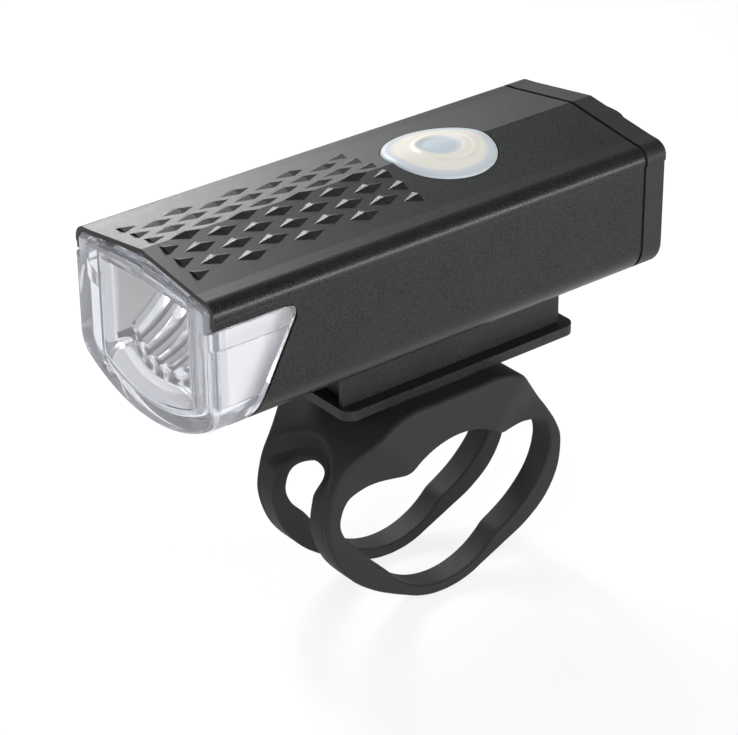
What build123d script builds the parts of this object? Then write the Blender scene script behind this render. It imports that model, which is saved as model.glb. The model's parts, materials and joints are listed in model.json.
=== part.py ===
from build123d import *
from math import cos, radians, sin
import os

# A bicycle front light on a rubber handlebar strap, in millimetres.
# +Z is up, X runs along the handlebar and the beam leaves towards -Y.
# The origin lies on the handlebar's axis, in the middle of the strap.

# Handlebar and strap
BAR_R = 14.3
SADDLE_HALF = 12.4
LOOP_HALF = 9.5
LOOP_SPACE = 4.7
LOOP_T = 2.0
EAR_OUT_Y = 24.2
EAR_HOLE_H = 13.0
EAR_RECESS_H = 22.4
EAR_RECESS_W = 12.0
EAR_RECESS_DEEP = 0.5
EAR_HOLE_RISE = 35.0
SADDLE_TOP_Z = 21.6
INSERT_Z = 17.3
INSERT_T = 1.6

# Bracket: a flange plate with a channel on it
PLATE_HALF = 8.5
PLATE_FRONT_Y = -19.3
PLATE_BACK_Y = 27.9
PLATE_T = 1.7
PLATE_CORNER = 2.2
PLATE_TOP_Z = SADDLE_TOP_Z + PLATE_T
CHANNEL_HALF = 6.2
CHANNEL_WALL = 0.8
CHANNEL_TOP_Z = 29.0
CHANNEL_FRONT_Y = -18.5
CHANNEL_BACK_Y = 25.9
LIP_T = 1.4
MOUTH_HALF = 3.9
SLIDE_GAP = 0.25
BASE_SCREW_YS = (-4.0, 2.4)

# Release tongue in the plate's slot
TONGUE_HALF = 2.6
TONGUE_ROOT_Y = 6.6
TONGUE_GAP = 0.3
NIB_Y = 20.5

# Light: outside of the section
ROOF_Z = 57.8
CREASE_X = 13.3
CREASE_Z = 55.8
SHOULDER_X = 15.15
SHOULDER_Z = 55.6
BEAD_R = 2.4
STEP_IN = 0.25
BEVEL = 0.6
CORNER_R = 5.0
CORNER_Z = 38.4
BARREL_TURN = radians(32.0)
SIDE_X = SHOULDER_X + BEAD_R - STEP_IN
ROOF_SLOPE = (ROOF_Z - CREASE_Z) / CREASE_X
CORNER_X = SIDE_X - CORNER_R * (1 - sin(BARREL_TURN))
CORNER_LOW_Z = CORNER_Z - CORNER_R * cos(BARREL_TURN)
BARREL_R = CORNER_X / sin(BARREL_TURN)
BARREL_Z = CORNER_LOW_Z + BARREL_R * cos(BARREL_TURN)
BOTTOM_Z = BARREL_Z - BARREL_R

# Light: lengths along the beam
SHELL_FRONT_Y = -49.5
SHELL_BACK_Y = 32.8
SEAL_T = 0.65
CAP_BACK_Y = 37.95
CAP_WALL = 1.8
WALL = 1.4

# Lens and the cut in the shell that it fills
LENS_FRONT_Y = -50.15
LENS_INSET = 2.6
PANE_T = 2.2
PANE_BACK_Y = LENS_FRONT_Y + PANE_T
LENS_SKIRT = 2.6
CUT_TOP_Z = 51.6
CUT_BACK_Y = -33.5
CUT_LEAN = 0.53
CUT_CORNER = 2.0
LENS_SEAL_T = 0.4
EDGE_T = 0.8
EDGE_DEEP = 4.0
COLLAR_HALF = 12.2
COLLAR_T = 0.9
COLLAR_INSET = 2.8
COLLAR_L = 0.9

# Raised diamonds on the roof
DIAMOND_L = 5.6
DIAMOND_W = 2.8
DIAMOND_H = 0.5
DIAMOND_STEP_X = 1.86
DIAMOND_STEP_Y = 10.25
DIAMOND_FIRST_Y = -41.8
DIAMOND_ROWS = 4
DIAMOND_COLUMNS = 11

# Button and the switch under it
BUTTON_Y = 5.8
BUTTON_R = 8.95
BUTTON_GAP = 0.25
BUTTON_SUNK = 0.3
BUTTON_PAD_R = 4.7
BUTTON_PAD_SHIFT = 1.2
BUTTON_PAD_T = 0.2
BUTTON_DISH_R = 3.3
FLANGE_R = 10.1
FLANGE_Z = 53.9
FLANGE_T = 0.7
STEM_R = 1.6

# Battery, board and emitter
CELL_R = 9.1
CELL_Z = 41.15
CELL_FRONT_Y = -30.3
CELL_L = 65.0
CELL_BACK_Y = CELL_FRONT_Y + CELL_L
CRADLE_R = 10.5
RAIL_X = (9.0, 11.4)
TAB_T = 0.3
BOARD_Z = 50.8
BOARD_T = 1.0
BOARD_HALF = 11.6
BOARD_FRONT_Y = -28.9
BOARD_BACK_Y = 35.6
BOARD_TOP_Z = BOARD_Z + BOARD_T
LED_Y = -39.0
LED_BOARD_Z = 53.4
LED_BOARD_T = 1.0
LED_BOARD_BACK_Y = LED_Y + 5.5
WIRE_R = 0.55
WIRE_BEND = 1.6

# Reflector: half bowl under the emitter
BOWL_HALF = 10.2
BOWL_R = 17.4
BOWL_DEEP = 12.4
BOWL_FRONT_Y = -46.9
BOWL_WALL = 0.8
BOWL_Z = LED_BOARD_Z - 1.0

# Screw channels in the shell
BOSS_FRONT_Y = -30.5
BOSS_R = 2.1
BOSSES = ((14.1, 52.0), (13.9, 36.9))
CAP_SCREW_R = 0.98
CAP_SCREW_HEAD_R = 1.8
CAP_SCREW_DEEP = 6.0
LEDGE_Z = 40.8

# Charging port and its flap
PORT_Z = 53.15
PORT_W = 8.6
SOCKET_W = 7.6
FLAP_W = 13.0
FLAP_T = 1.1
FLAP_TOP_Z = 56.3
FLAP_HINGE_Z = 49.0
FLAP_GAP = 0.1

# Foot under the light
FOOT_FRONT_Y = -17.0
FOOT_BACK_Y = 24.7
FOOT_LOW_Z = PLATE_TOP_Z + 0.3
FOOT_HALF = CHANNEL_HALF - CHANNEL_WALL - SLIDE_GAP
STEM_HALF = MOUTH_HALF - SLIDE_GAP
FOOT_FLANGE_Z = CHANNEL_TOP_Z - LIP_T - SLIDE_GAP
FOOT_SCREW_YS = (-11.0, 8.0)
SCREW_R = 1.2

PARTS = {}


def keep(name, shape):
    """Remember a finished piece under the name of its file."""
    PARTS[name] = shape


def section_plane(y):
    """Plane across the light at y: local x is +X and local y is +Z."""
    return Plane(origin=(0, y, 0), x_dir=(1, 0, 0), z_dir=(0, -1, 0))


def along_y(face, front, back):
    """Prism of a section face from y=front to y=back."""
    return extrude(section_plane(back) * face, amount=back - front, dir=(0, -1, 0))


def along_x(face, half):
    """Prism of a side-view face (local x is +Y, local y is +Z), as far on both sides of the middle."""
    return extrude(Plane.YZ.offset(-half) * face, amount=2 * half, dir=(1, 0, 0))


def along_z(face, low, high):
    """Prism of a plan-view face from z=low to z=high."""
    return extrude(Plane.XY.offset(low) * face, amount=high - low, dir=(0, 0, 1))


def block(x0, x1, y0, y1, z0, z1):
    """Box between two corners."""
    return Pos((x0 + x1) / 2, (y0 + y1) / 2, (z0 + z1) / 2) * Box(x1 - x0, y1 - y0, z1 - z0)


def slab(half, y0, y1, z0, z1):
    """Box that is as wide on both sides of the middle."""
    return block(-half, half, y0, y1, z0, z1)


def rod_y(x, z, r, front, back):
    """Round rod along Y."""
    return Pos(x, (front + back) / 2, z) * Rot(X=90) * Cylinder(r, back - front)


def rod_z(x, y, r, low, high):
    """Round rod along Z."""
    return Pos(x, y, (low + high) / 2) * Cylinder(r, high - low)


def both_sides(shape):
    """The shape and its mirror image across the middle of the light."""
    return shape + mirror(shape, Plane.YZ)


def at_bosses(r, front, back):
    """Round rods along Y on the four screw channels."""
    rods = [both_sides(rod_y(x, z, r, front, back)) for x, z in BOSSES]
    return rods[0] + rods[1]


def cross_slots(centre, reach, axis):
    """Two crossed bars for a driver's slot; axis is the direction of the screw."""
    x, y, z = centre
    if axis == "y":
        return block(x - reach, x + reach, y - 0.5, y + 0.5, z - 0.25, z + 0.25) + block(
            x - 0.25, x + 0.25, y - 0.5, y + 0.5, z - reach, z + reach
        )
    return block(x - reach, x + reach, y - 0.25, y + 0.25, z - 0.5, z + 0.5) + block(
        x - 0.25, x + 0.25, y - reach, y + reach, z - 0.5, z + 0.5
    )


def roof_z(x):
    """Height of the gable roof over x."""
    return ROOF_Z - ROOF_SLOPE * abs(x)


def outline():
    """Section of the light: gable roof, corner bead with a step under it, upright side, barrel bottom."""
    bead_x = SHOULDER_X + BEAD_R
    bead_z = SHOULDER_Z - BEAD_R
    diagonal = BEAD_R * sin(radians(45))
    mid = radians(90) / 2 + BARREL_TURN / 2
    corner_mid = (SIDE_X - CORNER_R * (1 - sin(mid)), CORNER_Z - CORNER_R * cos(mid))
    barrel_mid = (BARREL_R * sin(BARREL_TURN / 2), BARREL_Z - BARREL_R * cos(BARREL_TURN / 2))
    bead_mid = (SHOULDER_X + diagonal, bead_z + diagonal)
    right = (
        Line((0, ROOF_Z), (CREASE_X, CREASE_Z))
        + Line((CREASE_X, CREASE_Z), (SHOULDER_X, SHOULDER_Z))
        + ThreePointArc((SHOULDER_X, SHOULDER_Z), bead_mid, (bead_x, bead_z))
        + Line((bead_x, bead_z), (bead_x, bead_z - 0.4))
        + Line((bead_x, bead_z - 0.4), (SIDE_X, bead_z - 0.8))
        + Line((SIDE_X, bead_z - 0.8), (SIDE_X, CORNER_Z))
        + ThreePointArc((SIDE_X, CORNER_Z), corner_mid, (CORNER_X, CORNER_LOW_Z))
        + ThreePointArc((CORNER_X, CORNER_LOW_Z), barrel_mid, (0, BOTTOM_Z))
    )
    return make_face(right + mirror(right, Plane.YZ))


OUTLINE = outline()


def inset(distance):
    """The light's section, drawn in by a distance all round."""
    return offset(OUTLINE, amount=-distance, kind=Kind.INTERSECTION)


def lens_space(shift):
    """The solid space in front of the shell's cut edge; shift moves that edge back into the shell."""
    top = CUT_TOP_Z + shift
    back = CUT_BACK_Y + shift
    low_z = BOTTOM_Z - 2.0
    low_y = back - (top - low_z) * CUT_LEAN
    front_y = LENS_FRONT_Y - 10
    corners = make_face(Polyline((front_y, top), (back, top), (low_y, low_z), (front_y, low_z), close=True))
    bend = corners.vertices().sort_by_distance((back, top, 0))[0]
    return along_x(fillet(bend, CUT_CORNER), 30)


def diamond(x, y, front=True, back=True):
    """Raised four-sided pyramid on the roof at x, y; a half one ends in an upright face at y."""
    sunk = 0.25
    grow = (DIAMOND_H + sunk) / DIAMOND_H
    long, wide = DIAMOND_L / 2 * grow, DIAMOND_W / 2 * grow

    def foot(dx, dy):
        return Vector(x + dx, y + dy, roof_z(x + dx) - sunk)

    ring = [foot(wide, 0), foot(-wide, 0)]
    if back:
        ring.insert(1, foot(0, long))
    if front:
        ring.append(foot(0, -long))
    tip = Vector(x, y, roof_z(x) + DIAMOND_H)
    under = Vector(x, y, roof_z(x) - 2 * sunk)
    faces = []
    for here, after in zip(ring, ring[1:] + ring[:1]):
        faces.append(Face(Wire.make_polygon([here, after, tip])))
        faces.append(Face(Wire.make_polygon([after, here, under])))
    return Solid(Shell(faces))


def diamonds():
    """Staggered columns: four whole diamonds in the even ones, three and two halves in the odd ones."""
    made = []
    half_columns = DIAMOND_COLUMNS // 2
    for column in range(-half_columns, half_columns + 1):
        x = column * DIAMOND_STEP_X
        odd = column % 2
        first = DIAMOND_FIRST_Y - odd * DIAMOND_STEP_Y / 2
        for row in range(DIAMOND_ROWS + odd):
            y = first + row * DIAMOND_STEP_Y
            made.append(diamond(x, y, front=not odd or row > 0, back=not odd or row < DIAMOND_ROWS))
    return made


def body_shell():
    """Shell with screw channels, cradle ledges, a thick floor for the foot and the cut for the lens."""
    outer = along_y(OUTLINE, SHELL_FRONT_Y, SHELL_BACK_Y)
    shell = outer - along_y(inset(WALL), SHELL_FRONT_Y - 1, SHELL_BACK_Y + 1)
    ribs = at_bosses(BOSS_R, BOSS_FRONT_Y, SHELL_BACK_Y)
    ribs += both_sides(block(14.4, SIDE_X - 0.5, BOSS_FRONT_Y, SHELL_BACK_Y, LEDGE_Z, LEDGE_Z + 1))
    ribs += slab(3.2, BOSS_FRONT_Y, SHELL_BACK_Y, BOTTOM_Z + 0.5, BOTTOM_Z + 1.75)
    shell += ribs & outer
    shell -= at_bosses(CAP_SCREW_R + 0.01, SHELL_BACK_Y - CAP_SCREW_DEEP, SHELL_BACK_Y + 1)
    for y in FOOT_SCREW_YS:
        shell -= rod_z(0, y, SCREW_R + 0.01, BOTTOM_Z - 1, BOTTOM_Z + 3)
    rebate = along_y(inset(EDGE_T), SHELL_FRONT_Y - 1, SHELL_FRONT_Y + EDGE_DEEP)
    shell -= lens_space(0) + rebate
    shell -= rod_z(0, BUTTON_Y, BUTTON_R + BUTTON_GAP, ROOF_Z - 4, ROOF_Z + 2)
    return shell.fuse(*diamonds())


def collar_face(shrink):
    """Six-sided opening behind the pane: the section drawn in and cut off at both sides."""
    wide = inset(COLLAR_INSET) & (Pos(0, CELL_Z) * Rectangle(2 * COLLAR_HALF, 60))
    return offset(wide, amount=-shrink, kind=Kind.INTERSECTION) if shrink else wide


def bevelled(shape, end):
    """The shape with a small bevel round its first (0) or last (-1) face along the beam."""
    return chamfer(shape.faces().sort_by(Axis.Y)[end].edges(), BEVEL)


def lens():
    """One clear moulding: front pane, sides and bottom flush with the shell, a skirt inside it, a collar."""
    front = along_y(inset(EDGE_T + 0.1), LENS_FRONT_Y, SHELL_FRONT_Y + EDGE_DEEP - 0.2)
    sides = bevelled(along_y(OUTLINE, LENS_FRONT_Y, CUT_BACK_Y + 2), 0) & lens_space(-LENS_SEAL_T)
    skirt = along_y(inset(WALL + 0.15), SHELL_FRONT_Y, CUT_BACK_Y + 6) & lens_space(LENS_SKIRT)
    skirt &= slab(SIDE_X, LENS_FRONT_Y, CUT_BACK_Y + 6, BOTTOM_Z, CUT_TOP_Z + LENS_SKIRT - 1.2)
    hollow = along_y(inset(LENS_INSET), PANE_BACK_Y, CUT_BACK_Y + 8)
    collar = along_y(collar_face(0) - collar_face(COLLAR_T), PANE_BACK_Y - 0.2, PANE_BACK_Y + COLLAR_L)
    return front + sides + skirt - hollow + collar


def lens_gasket():
    """Black seal between the lens and the shell's cut edge, sunk a little below the surface."""
    band = along_y(inset(0.3) - inset(WALL + 0.1), SHELL_FRONT_Y + 0.2, CUT_BACK_Y + 3)
    seal = band & (lens_space(-0.02) - lens_space(-LENS_SEAL_T + 0.02))
    return seal - along_y(inset(EDGE_T + 0.06), LENS_FRONT_Y, SHELL_FRONT_Y + EDGE_DEEP - 0.15)


def bowl(grow):
    """Solid of revolution about the emitter's line, deep along the beam."""
    deep, wide = BOWL_DEEP + grow, BOWL_R + grow
    quarter = EllipticalCenterArc((0, 0), deep, wide, start_angle=0, arc_size=90)
    face = make_face(quarter + Line((0, wide), (0, 0)) + Line((0, 0), (deep, 0)))
    return Pos(0, BOWL_FRONT_Y, BOWL_Z) * revolve(Plane.YZ * face, Axis.Y, 360)


def reflector():
    """Half bowl under the emitter, with flat cheeks, a top deck and a six-sided front frame."""
    front = PANE_BACK_Y + 0.05
    back = BOWL_FRONT_Y + BOWL_DEEP + BOWL_WALL
    rim = collar_face(COLLAR_T + 0.1)
    wide = BOWL_HALF + BOWL_WALL
    shell = bowl(BOWL_WALL) & along_y(rim, BOWL_FRONT_Y, back) & slab(wide, -60, 0, 0, BOWL_Z + 0.98)
    shell += slab(wide, BOWL_FRONT_Y, LED_BOARD_BACK_Y, BOWL_Z, BOWL_Z + 0.98)
    shell -= bowl(0) & slab(BOWL_HALF, -60, 0, 0, BOWL_Z)
    frame = along_y(rim - collar_face(COLLAR_T + 1.0), front, BOWL_FRONT_Y + 0.6)
    return shell + frame - slab(2.4, LED_Y - 2.4, LED_Y + 2.4, BOWL_Z - 1, BOWL_Z + 2)


def light_engine():
    """Emitter facing down into the bowl, its metal board, and the block that carries heat to the roof."""
    die = slab(1.75, LED_Y - 1.75, LED_Y + 1.75, LED_BOARD_Z - 0.7, LED_BOARD_Z)
    dome = Pos(0, LED_Y, LED_BOARD_Z - 0.7) * Sphere(1.3)
    keep("led_emitter", die + (dome & slab(2, LED_Y - 2, LED_Y + 2, LED_BOARD_Z - 3, LED_BOARD_Z - 0.6)))
    top = LED_BOARD_Z + LED_BOARD_T
    keep("led_board", slab(8.5, LED_Y - 5.0, LED_BOARD_BACK_Y, LED_BOARD_Z, top))
    wedge = inset(WALL + 0.02) & (Pos(0, top + 10) * Rectangle(17.0, 20))
    keep("heat_block", along_y(wedge, LED_Y - 5.0, LED_BOARD_BACK_Y - 0.7))


def battery():
    """Round cell, its two welded tabs, and the cradle that holds it and carries the board."""
    cell = rod_y(0, CELL_Z, CELL_R, CELL_FRONT_Y, CELL_BACK_Y - 0.6)
    keep("battery_cell", cell + rod_y(0, CELL_Z, 3.2, CELL_BACK_Y - 0.6, CELL_BACK_Y))
    tab_low = CELL_Z - 2.5
    rear = slab(2.5, CELL_BACK_Y, CELL_BACK_Y + TAB_T, tab_low, BOARD_Z)
    keep("battery_tab_plus", rear)
    front = slab(2.5, CELL_FRONT_Y - TAB_T, CELL_FRONT_Y, tab_low, BOARD_Z)
    front += slab(2.5, CELL_FRONT_Y - TAB_T, BOARD_FRONT_Y + 4, BOARD_Z - TAB_T, BOARD_Z)
    keep("battery_tab_minus", front)
    ring = (Pos(0, CELL_Z) * Circle(CRADLE_R)) & (Pos(0, CELL_Z + 1.2) * Rectangle(40, 15))
    rail_mid, rail_w = sum(RAIL_X) / 2, RAIL_X[1] - RAIL_X[0]
    rail = Pos(rail_mid, BOARD_Z - 4.5) * Rectangle(rail_w, 9)
    wing = Pos(12.6, LEDGE_Z + 1.8) * Rectangle(6.2, 1.6)
    face = ring + both_sides(rail + wing) - Pos(0, CELL_Z) * Circle(CELL_R + 0.05)
    cradle = along_y(face, CELL_FRONT_Y - TAB_T - 0.1, SHELL_BACK_Y - 0.6)
    stop = Pos(0, CELL_Z + 1.2) * Rectangle(2 * RAIL_X[1], 15)
    keep("battery_cradle", cradle + along_y(stop, CELL_FRONT_Y - TAB_T - 1.3, CELL_FRONT_Y - TAB_T - 0.1))


def electronics():
    """Main board with its parts, the switch under the button and the charging socket."""
    top = BOARD_TOP_Z
    keep("main_board", slab(BOARD_HALF, BOARD_FRONT_Y, BOARD_BACK_Y, BOARD_Z, top))
    chips = rod_z(-4.5, -16.0, 3.0, top, top + 2.8) + block(1.5, 6.5, -18.5, -13.5, top, top + 1.0)
    chips += slab(2.5, 20.0, 24.0, top, top + 1.2)
    for x, y in ((-8.0, -10.0), (8.0, -10.0), (6.5, 22.0), (-6.5, 22.0), (0.0, -23.0)):
        chips += block(x - 1.0, x + 1.0, y - 0.6, y + 0.6, top, top + 0.9)
    keep("board_components", chips)
    switch = slab(3.0, BUTTON_Y - 3.0, BUTTON_Y + 3.0, top, top + 1.3)
    keep("tact_switch", switch - rod_z(0, BUTTON_Y, STEM_R + 0.05, top + 0.2, top + 2))
    keep("switch_stem", rod_z(0, BUTTON_Y, STEM_R, top + 0.9, FLANGE_Z))
    keep("indicator_leds", both_sides(block(5.0, 7.0, BUTTON_Y - 0.6, BUTTON_Y + 0.6, top, top + 0.8)))
    well = rod_z(0, BUTTON_Y, BOARD_HALF - 0.4, top, FLANGE_Z + 0.4)
    keep("button_well", well - rod_z(0, BUTTON_Y, FLANGE_R + 0.3, top - 1, FLANGE_Z + 1))
    mouth = CAP_BACK_Y - 2.0
    socket = slab(SOCKET_W / 2, mouth - 5.5, mouth, top, top + 2.8)
    socket -= slab(SOCKET_W / 2 - 0.6, mouth - 4.6, mouth + 1, top + 0.5, top + 2.3)
    keep("usb_socket", socket + slab(1.9, mouth - 4.7, mouth - 0.6, top + 1.1, top + 1.6))


def led_leads():
    """Two insulated leads from the emitter's board back and down to the main board."""
    start_z = LED_BOARD_Z + LED_BOARD_T / 2
    end_y = BOARD_FRONT_Y + 2.0
    for name, x in (("led_lead_plus", 7.4), ("led_lead_minus", -7.4)):
        corners = ((x, LED_BOARD_BACK_Y, start_z), (x, end_y, start_z), (x, end_y, BOARD_TOP_Z))
        path = FilletPolyline(*corners, radius=WIRE_BEND)
        keep(name, sweep(Plane(origin=path @ 0, z_dir=path % 0) * Circle(WIRE_R), path=path))


def gable_block(low, drop):
    """Solid under the button's gabled top; drop lowers that top."""
    reach = BUTTON_R + 3
    edge_z = roof_z(reach) - BUTTON_SUNK - drop
    ridge_z = ROOF_Z - BUTTON_SUNK - drop
    corners = ((-reach, low), (reach, low), (reach, edge_z), (0, ridge_z), (-reach, edge_z))
    return along_y(make_face(Polyline(*corners, close=True)), BUTTON_Y - reach, BUTTON_Y + reach)


def button_cap():
    """Silicone button that follows the roof: a disc, a raised pad, a dish in it and a flange below."""
    low = FLANGE_Z + FLANGE_T
    disc = gable_block(low - 0.2, 0) & rod_z(0, BUTTON_Y, BUTTON_R, FLANGE_Z, ROOF_Z + 1)
    pad = rod_z(0, BUTTON_Y + BUTTON_PAD_SHIFT, BUTTON_PAD_R, low, ROOF_Z + 1)
    disc += gable_block(low, -BUTTON_PAD_T) & pad
    disc -= rod_z(0, BUTTON_Y, BUTTON_DISH_R, low, ROOF_Z + 1) - gable_block(low - 1, 0.25)
    return disc + rod_z(0, BUTTON_Y, FLANGE_R, FLANGE_Z, low)


def rear_gasket():
    """Flat seal between shell and cap, sunk below the surface so that it shows as a dark groove."""
    back = SHELL_BACK_Y + SEAL_T
    face = along_y(inset(0.35), SHELL_BACK_Y, back)
    seal = face - along_y(inset(WALL + 0.3), SHELL_BACK_Y - 1, back + 1)
    seal += at_bosses(BOSS_R, SHELL_BACK_Y, back) & face
    return seal - at_bosses(CAP_SCREW_R + 0.1, SHELL_BACK_Y - 1, back + 1)


def rear_cap():
    """Moulded end cap: a shallow cup with screw columns, the charging slot and a seat for the flap's root."""
    front = SHELL_BACK_Y + SEAL_T
    cap = bevelled(along_y(OUTLINE, front, CAP_BACK_Y), -1)
    cap -= along_y(inset(1.9), front - 1, CAP_BACK_Y - CAP_WALL)
    cap += at_bosses(BOSS_R, front, CAP_BACK_Y - 1) & along_y(inset(0.8), front, CAP_BACK_Y - 1)
    cap -= at_bosses(CAP_SCREW_R + 0.12, front - 1, CAP_BACK_Y + 1)
    cap -= at_bosses(CAP_SCREW_HEAD_R + 0.15, CAP_BACK_Y - 1.4, CAP_BACK_Y + 1)
    cap -= slab(PORT_W / 2, CAP_BACK_Y - 3, CAP_BACK_Y + 1, PORT_Z - 1.75, PORT_Z + 1.8)
    return cap - slab(4.5, CAP_BACK_Y - 0.6, CAP_BACK_Y + 1, FLAP_HINGE_Z - 3.0, FLAP_HINGE_Z - 0.15)


def cap_screws():
    """Four screws through the cap into the shell's channels."""
    seat = CAP_BACK_Y - 1.4
    screws = []
    for x, z in BOSSES:
        head = rod_y(x, z, CAP_SCREW_HEAD_R, seat, CAP_BACK_Y - 0.3)
        head -= cross_slots((x, CAP_BACK_Y - 0.3, z), 1.1, "y")
        screw = head + rod_y(x, z, CAP_SCREW_R, SHELL_BACK_Y - CAP_SCREW_DEEP + 0.3, seat)
        screws += [screw, mirror(screw, Plane.YZ)]
    return Compound(children=screws)


def usb_cover():
    """Rubber flap over the charging slot, with a plug that fits the slot and a pull lip."""
    near = CAP_BACK_Y + FLAP_GAP
    far = near + FLAP_T
    leaf = Pos(0, (FLAP_TOP_Z + FLAP_HINGE_Z) / 2) * RectangleRounded(FLAP_W, FLAP_TOP_Z - FLAP_HINGE_Z, 1.6)
    plug = slab(3.9, near - 1.3, near, PORT_Z - 1.2, PORT_Z + 1.3)
    return along_y(leaf, near, far) + plug + slab(2.5, far, far + 0.6, FLAP_TOP_Z - 1.8, FLAP_TOP_Z - 0.9)


def cover_root():
    """Rubber root of the flap, let into the cap under the hinge line, clear of the opened flap."""
    front = CAP_BACK_Y - 0.6
    strip = slab(4.45, front, CAP_BACK_Y, FLAP_HINGE_Z - 2.95, FLAP_HINGE_Z - 0.2)
    return strip + slab(4.45, front, CAP_BACK_Y + FLAP_GAP + FLAP_T, FLAP_HINGE_Z - 2.95, FLAP_HINGE_Z - 1.35)


def slide_foot():
    """Tee foot screwed under the light; it slides in the bracket's channel."""
    foot = slab(FOOT_HALF, FOOT_FRONT_Y, FOOT_BACK_Y, FOOT_LOW_Z, FOOT_FLANGE_Z)
    foot += slab(STEM_HALF, FOOT_FRONT_Y, FOOT_BACK_Y, FOOT_LOW_Z, BOTTOM_Z + 1)
    foot -= along_y(OUTLINE, FOOT_FRONT_Y - 1, FOOT_BACK_Y + 1)
    foot -= slab(1.9, NIB_Y - 1.6, FOOT_BACK_Y + 1, FOOT_LOW_Z - 1, FOOT_LOW_Z + 1.4)
    for y in FOOT_SCREW_YS:
        foot -= rod_z(0, y, SCREW_R + 0.15, FOOT_LOW_Z - 1, BOTTOM_Z + 2)
        foot -= rod_z(0, y, 2.4, FOOT_LOW_Z - 1, FOOT_LOW_Z + 1.6)
    return foot


def foot_screws():
    """Two screws up through the foot into the shell's thick floor."""
    low = FOOT_LOW_Z + 0.3
    screws = []
    for y in FOOT_SCREW_YS:
        head = rod_z(0, y, 2.2, low, low + 1.3) - cross_slots((0, y, low), 1.3, "z")
        screws.append(head + rod_z(0, y, SCREW_R, low + 1.3, BOTTOM_Z + 1.7))
    return Compound(children=screws)


def bracket_base():
    """Flange plate with a lipped channel that is open to the front, and a slot for the release tongue."""
    plan = RectangleRounded(2 * PLATE_HALF, PLATE_BACK_Y - PLATE_FRONT_Y, PLATE_CORNER)
    base = along_z(Pos(0, (PLATE_FRONT_Y + PLATE_BACK_Y) / 2) * plan, SADDLE_TOP_Z, PLATE_TOP_Z)
    inner = CHANNEL_HALF - CHANNEL_WALL
    wall = block(inner, CHANNEL_HALF, CHANNEL_FRONT_Y, CHANNEL_BACK_Y, PLATE_TOP_Z, CHANNEL_TOP_Z)
    lip_z = CHANNEL_TOP_Z - LIP_T
    lip = block(MOUTH_HALF, CHANNEL_HALF, CHANNEL_FRONT_Y, CHANNEL_BACK_Y, lip_z, CHANNEL_TOP_Z)
    base += both_sides(wall + lip)
    base += slab(CHANNEL_HALF, CHANNEL_BACK_Y - 0.9, CHANNEL_BACK_Y, PLATE_TOP_Z, CHANNEL_TOP_Z)
    slot_front, slot_back = TONGUE_ROOT_Y - TONGUE_GAP, PLATE_BACK_Y + 1
    base -= slab(TONGUE_HALF + TONGUE_GAP, slot_front, slot_back, SADDLE_TOP_Z - 1, PLATE_TOP_Z)
    for y in BASE_SCREW_YS:
        base -= rod_z(0, y, SCREW_R + 0.1, SADDLE_TOP_Z - 1, PLATE_TOP_Z + 1)
        base -= Pos(0, y, PLATE_TOP_Z - 0.6) * Cone(SCREW_R + 0.1, 2.5, 1.2)
    return base


def bracket_screws():
    """Two countersunk screws from the channel's floor down into the strap's insert."""
    top = PLATE_TOP_Z - 0.1
    screws = []
    for y in BASE_SCREW_YS:
        head = Pos(0, y, top - 0.55) * Cone(SCREW_R, 2.3, 1.1) - cross_slots((0, y, top), 1.2, "z")
        screws.append(head + rod_z(0, y, SCREW_R, INSERT_Z + 0.1, top - 1.1))
    return Compound(children=screws)


def strap_insert():
    """Metal plate moulded into the saddle, tapped for the bracket's screws."""
    middle = sum(BASE_SCREW_YS) / 2
    plate = along_z(Pos(0, middle) * RectangleRounded(12, 13, 1.5), INSERT_Z, INSERT_Z + INSERT_T)
    for y in BASE_SCREW_YS:
        plate -= rod_z(0, y, SCREW_R + 0.01, INSERT_Z - 1, INSERT_Z + INSERT_T + 1)
    return plate


def release_tongue():
    """Springy tongue in the plate's slot: a nib in the foot's notch and a finger tab at the rear."""
    low, top = SADDLE_TOP_Z + 0.1, PLATE_TOP_Z - 0.1
    end = PLATE_BACK_Y + 0.3
    tongue = slab(TONGUE_HALF, TONGUE_ROOT_Y, end, low, top)
    front, back = NIB_Y - 1.2, NIB_Y + 1
    nib = Polyline((front, top), (back, top), (back, top + 0.5), (front, top + 1.3), close=True)
    tongue += along_x(make_face(nib), 1.5)
    tab = [(end - 2.2, low), (end, top), (end + 0.9, low), (end + 0.4, low - 2.8), (end - 1.0, low - 3.0)]
    return tongue + along_x(make_face(Polyline(*tab, close=True)), TONGUE_HALF)


def mirrored_loop(right):
    """Closed face from the +X or +Y half of an outline that starts and ends on the Z axis."""
    return make_face(right + mirror(right, Plane.YZ))


def loop_side(shoulder):
    """Outside of one loop in side view, from the saddle's flat top over a shoulder to under the bar."""
    low_r = BAR_R + LOOP_T
    join = radians(62)
    lower = [(EAR_OUT_Y, 3.4), (22.4, -2.4), (18.9, -7.1), (14.9, -10.4), (11.2, -12.6)]
    end = (low_r * cos(join), -low_r * sin(join))
    points = [(9.0, SADDLE_TOP_Z)] + shoulder + lower + [end]
    edge = Spline(points, tangents=[(1, 0), (-sin(join), -cos(join))])
    middle = (low_r * cos(radians(76)), -low_r * sin(radians(76)))
    return Line((0, SADDLE_TOP_Z), (9.0, SADDLE_TOP_Z)) + edge + ThreePointArc(end, middle, (0, -low_r))


def strap_outer():
    """Side view of the strap's outside: the front shoulder is fuller than the back one."""
    back = loop_side([(13.2, 20.3), (15.9, 17.4), (18.9, 13.6), (21.6, 9.9), (23.5, 6.3)])
    front = loop_side([(13.0, 20.4), (17.0, 17.7), (20.0, 15.0), (22.2, 11.9), (23.6, 8.4)])
    return make_face(back + mirror(front, Plane.YZ))


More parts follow.
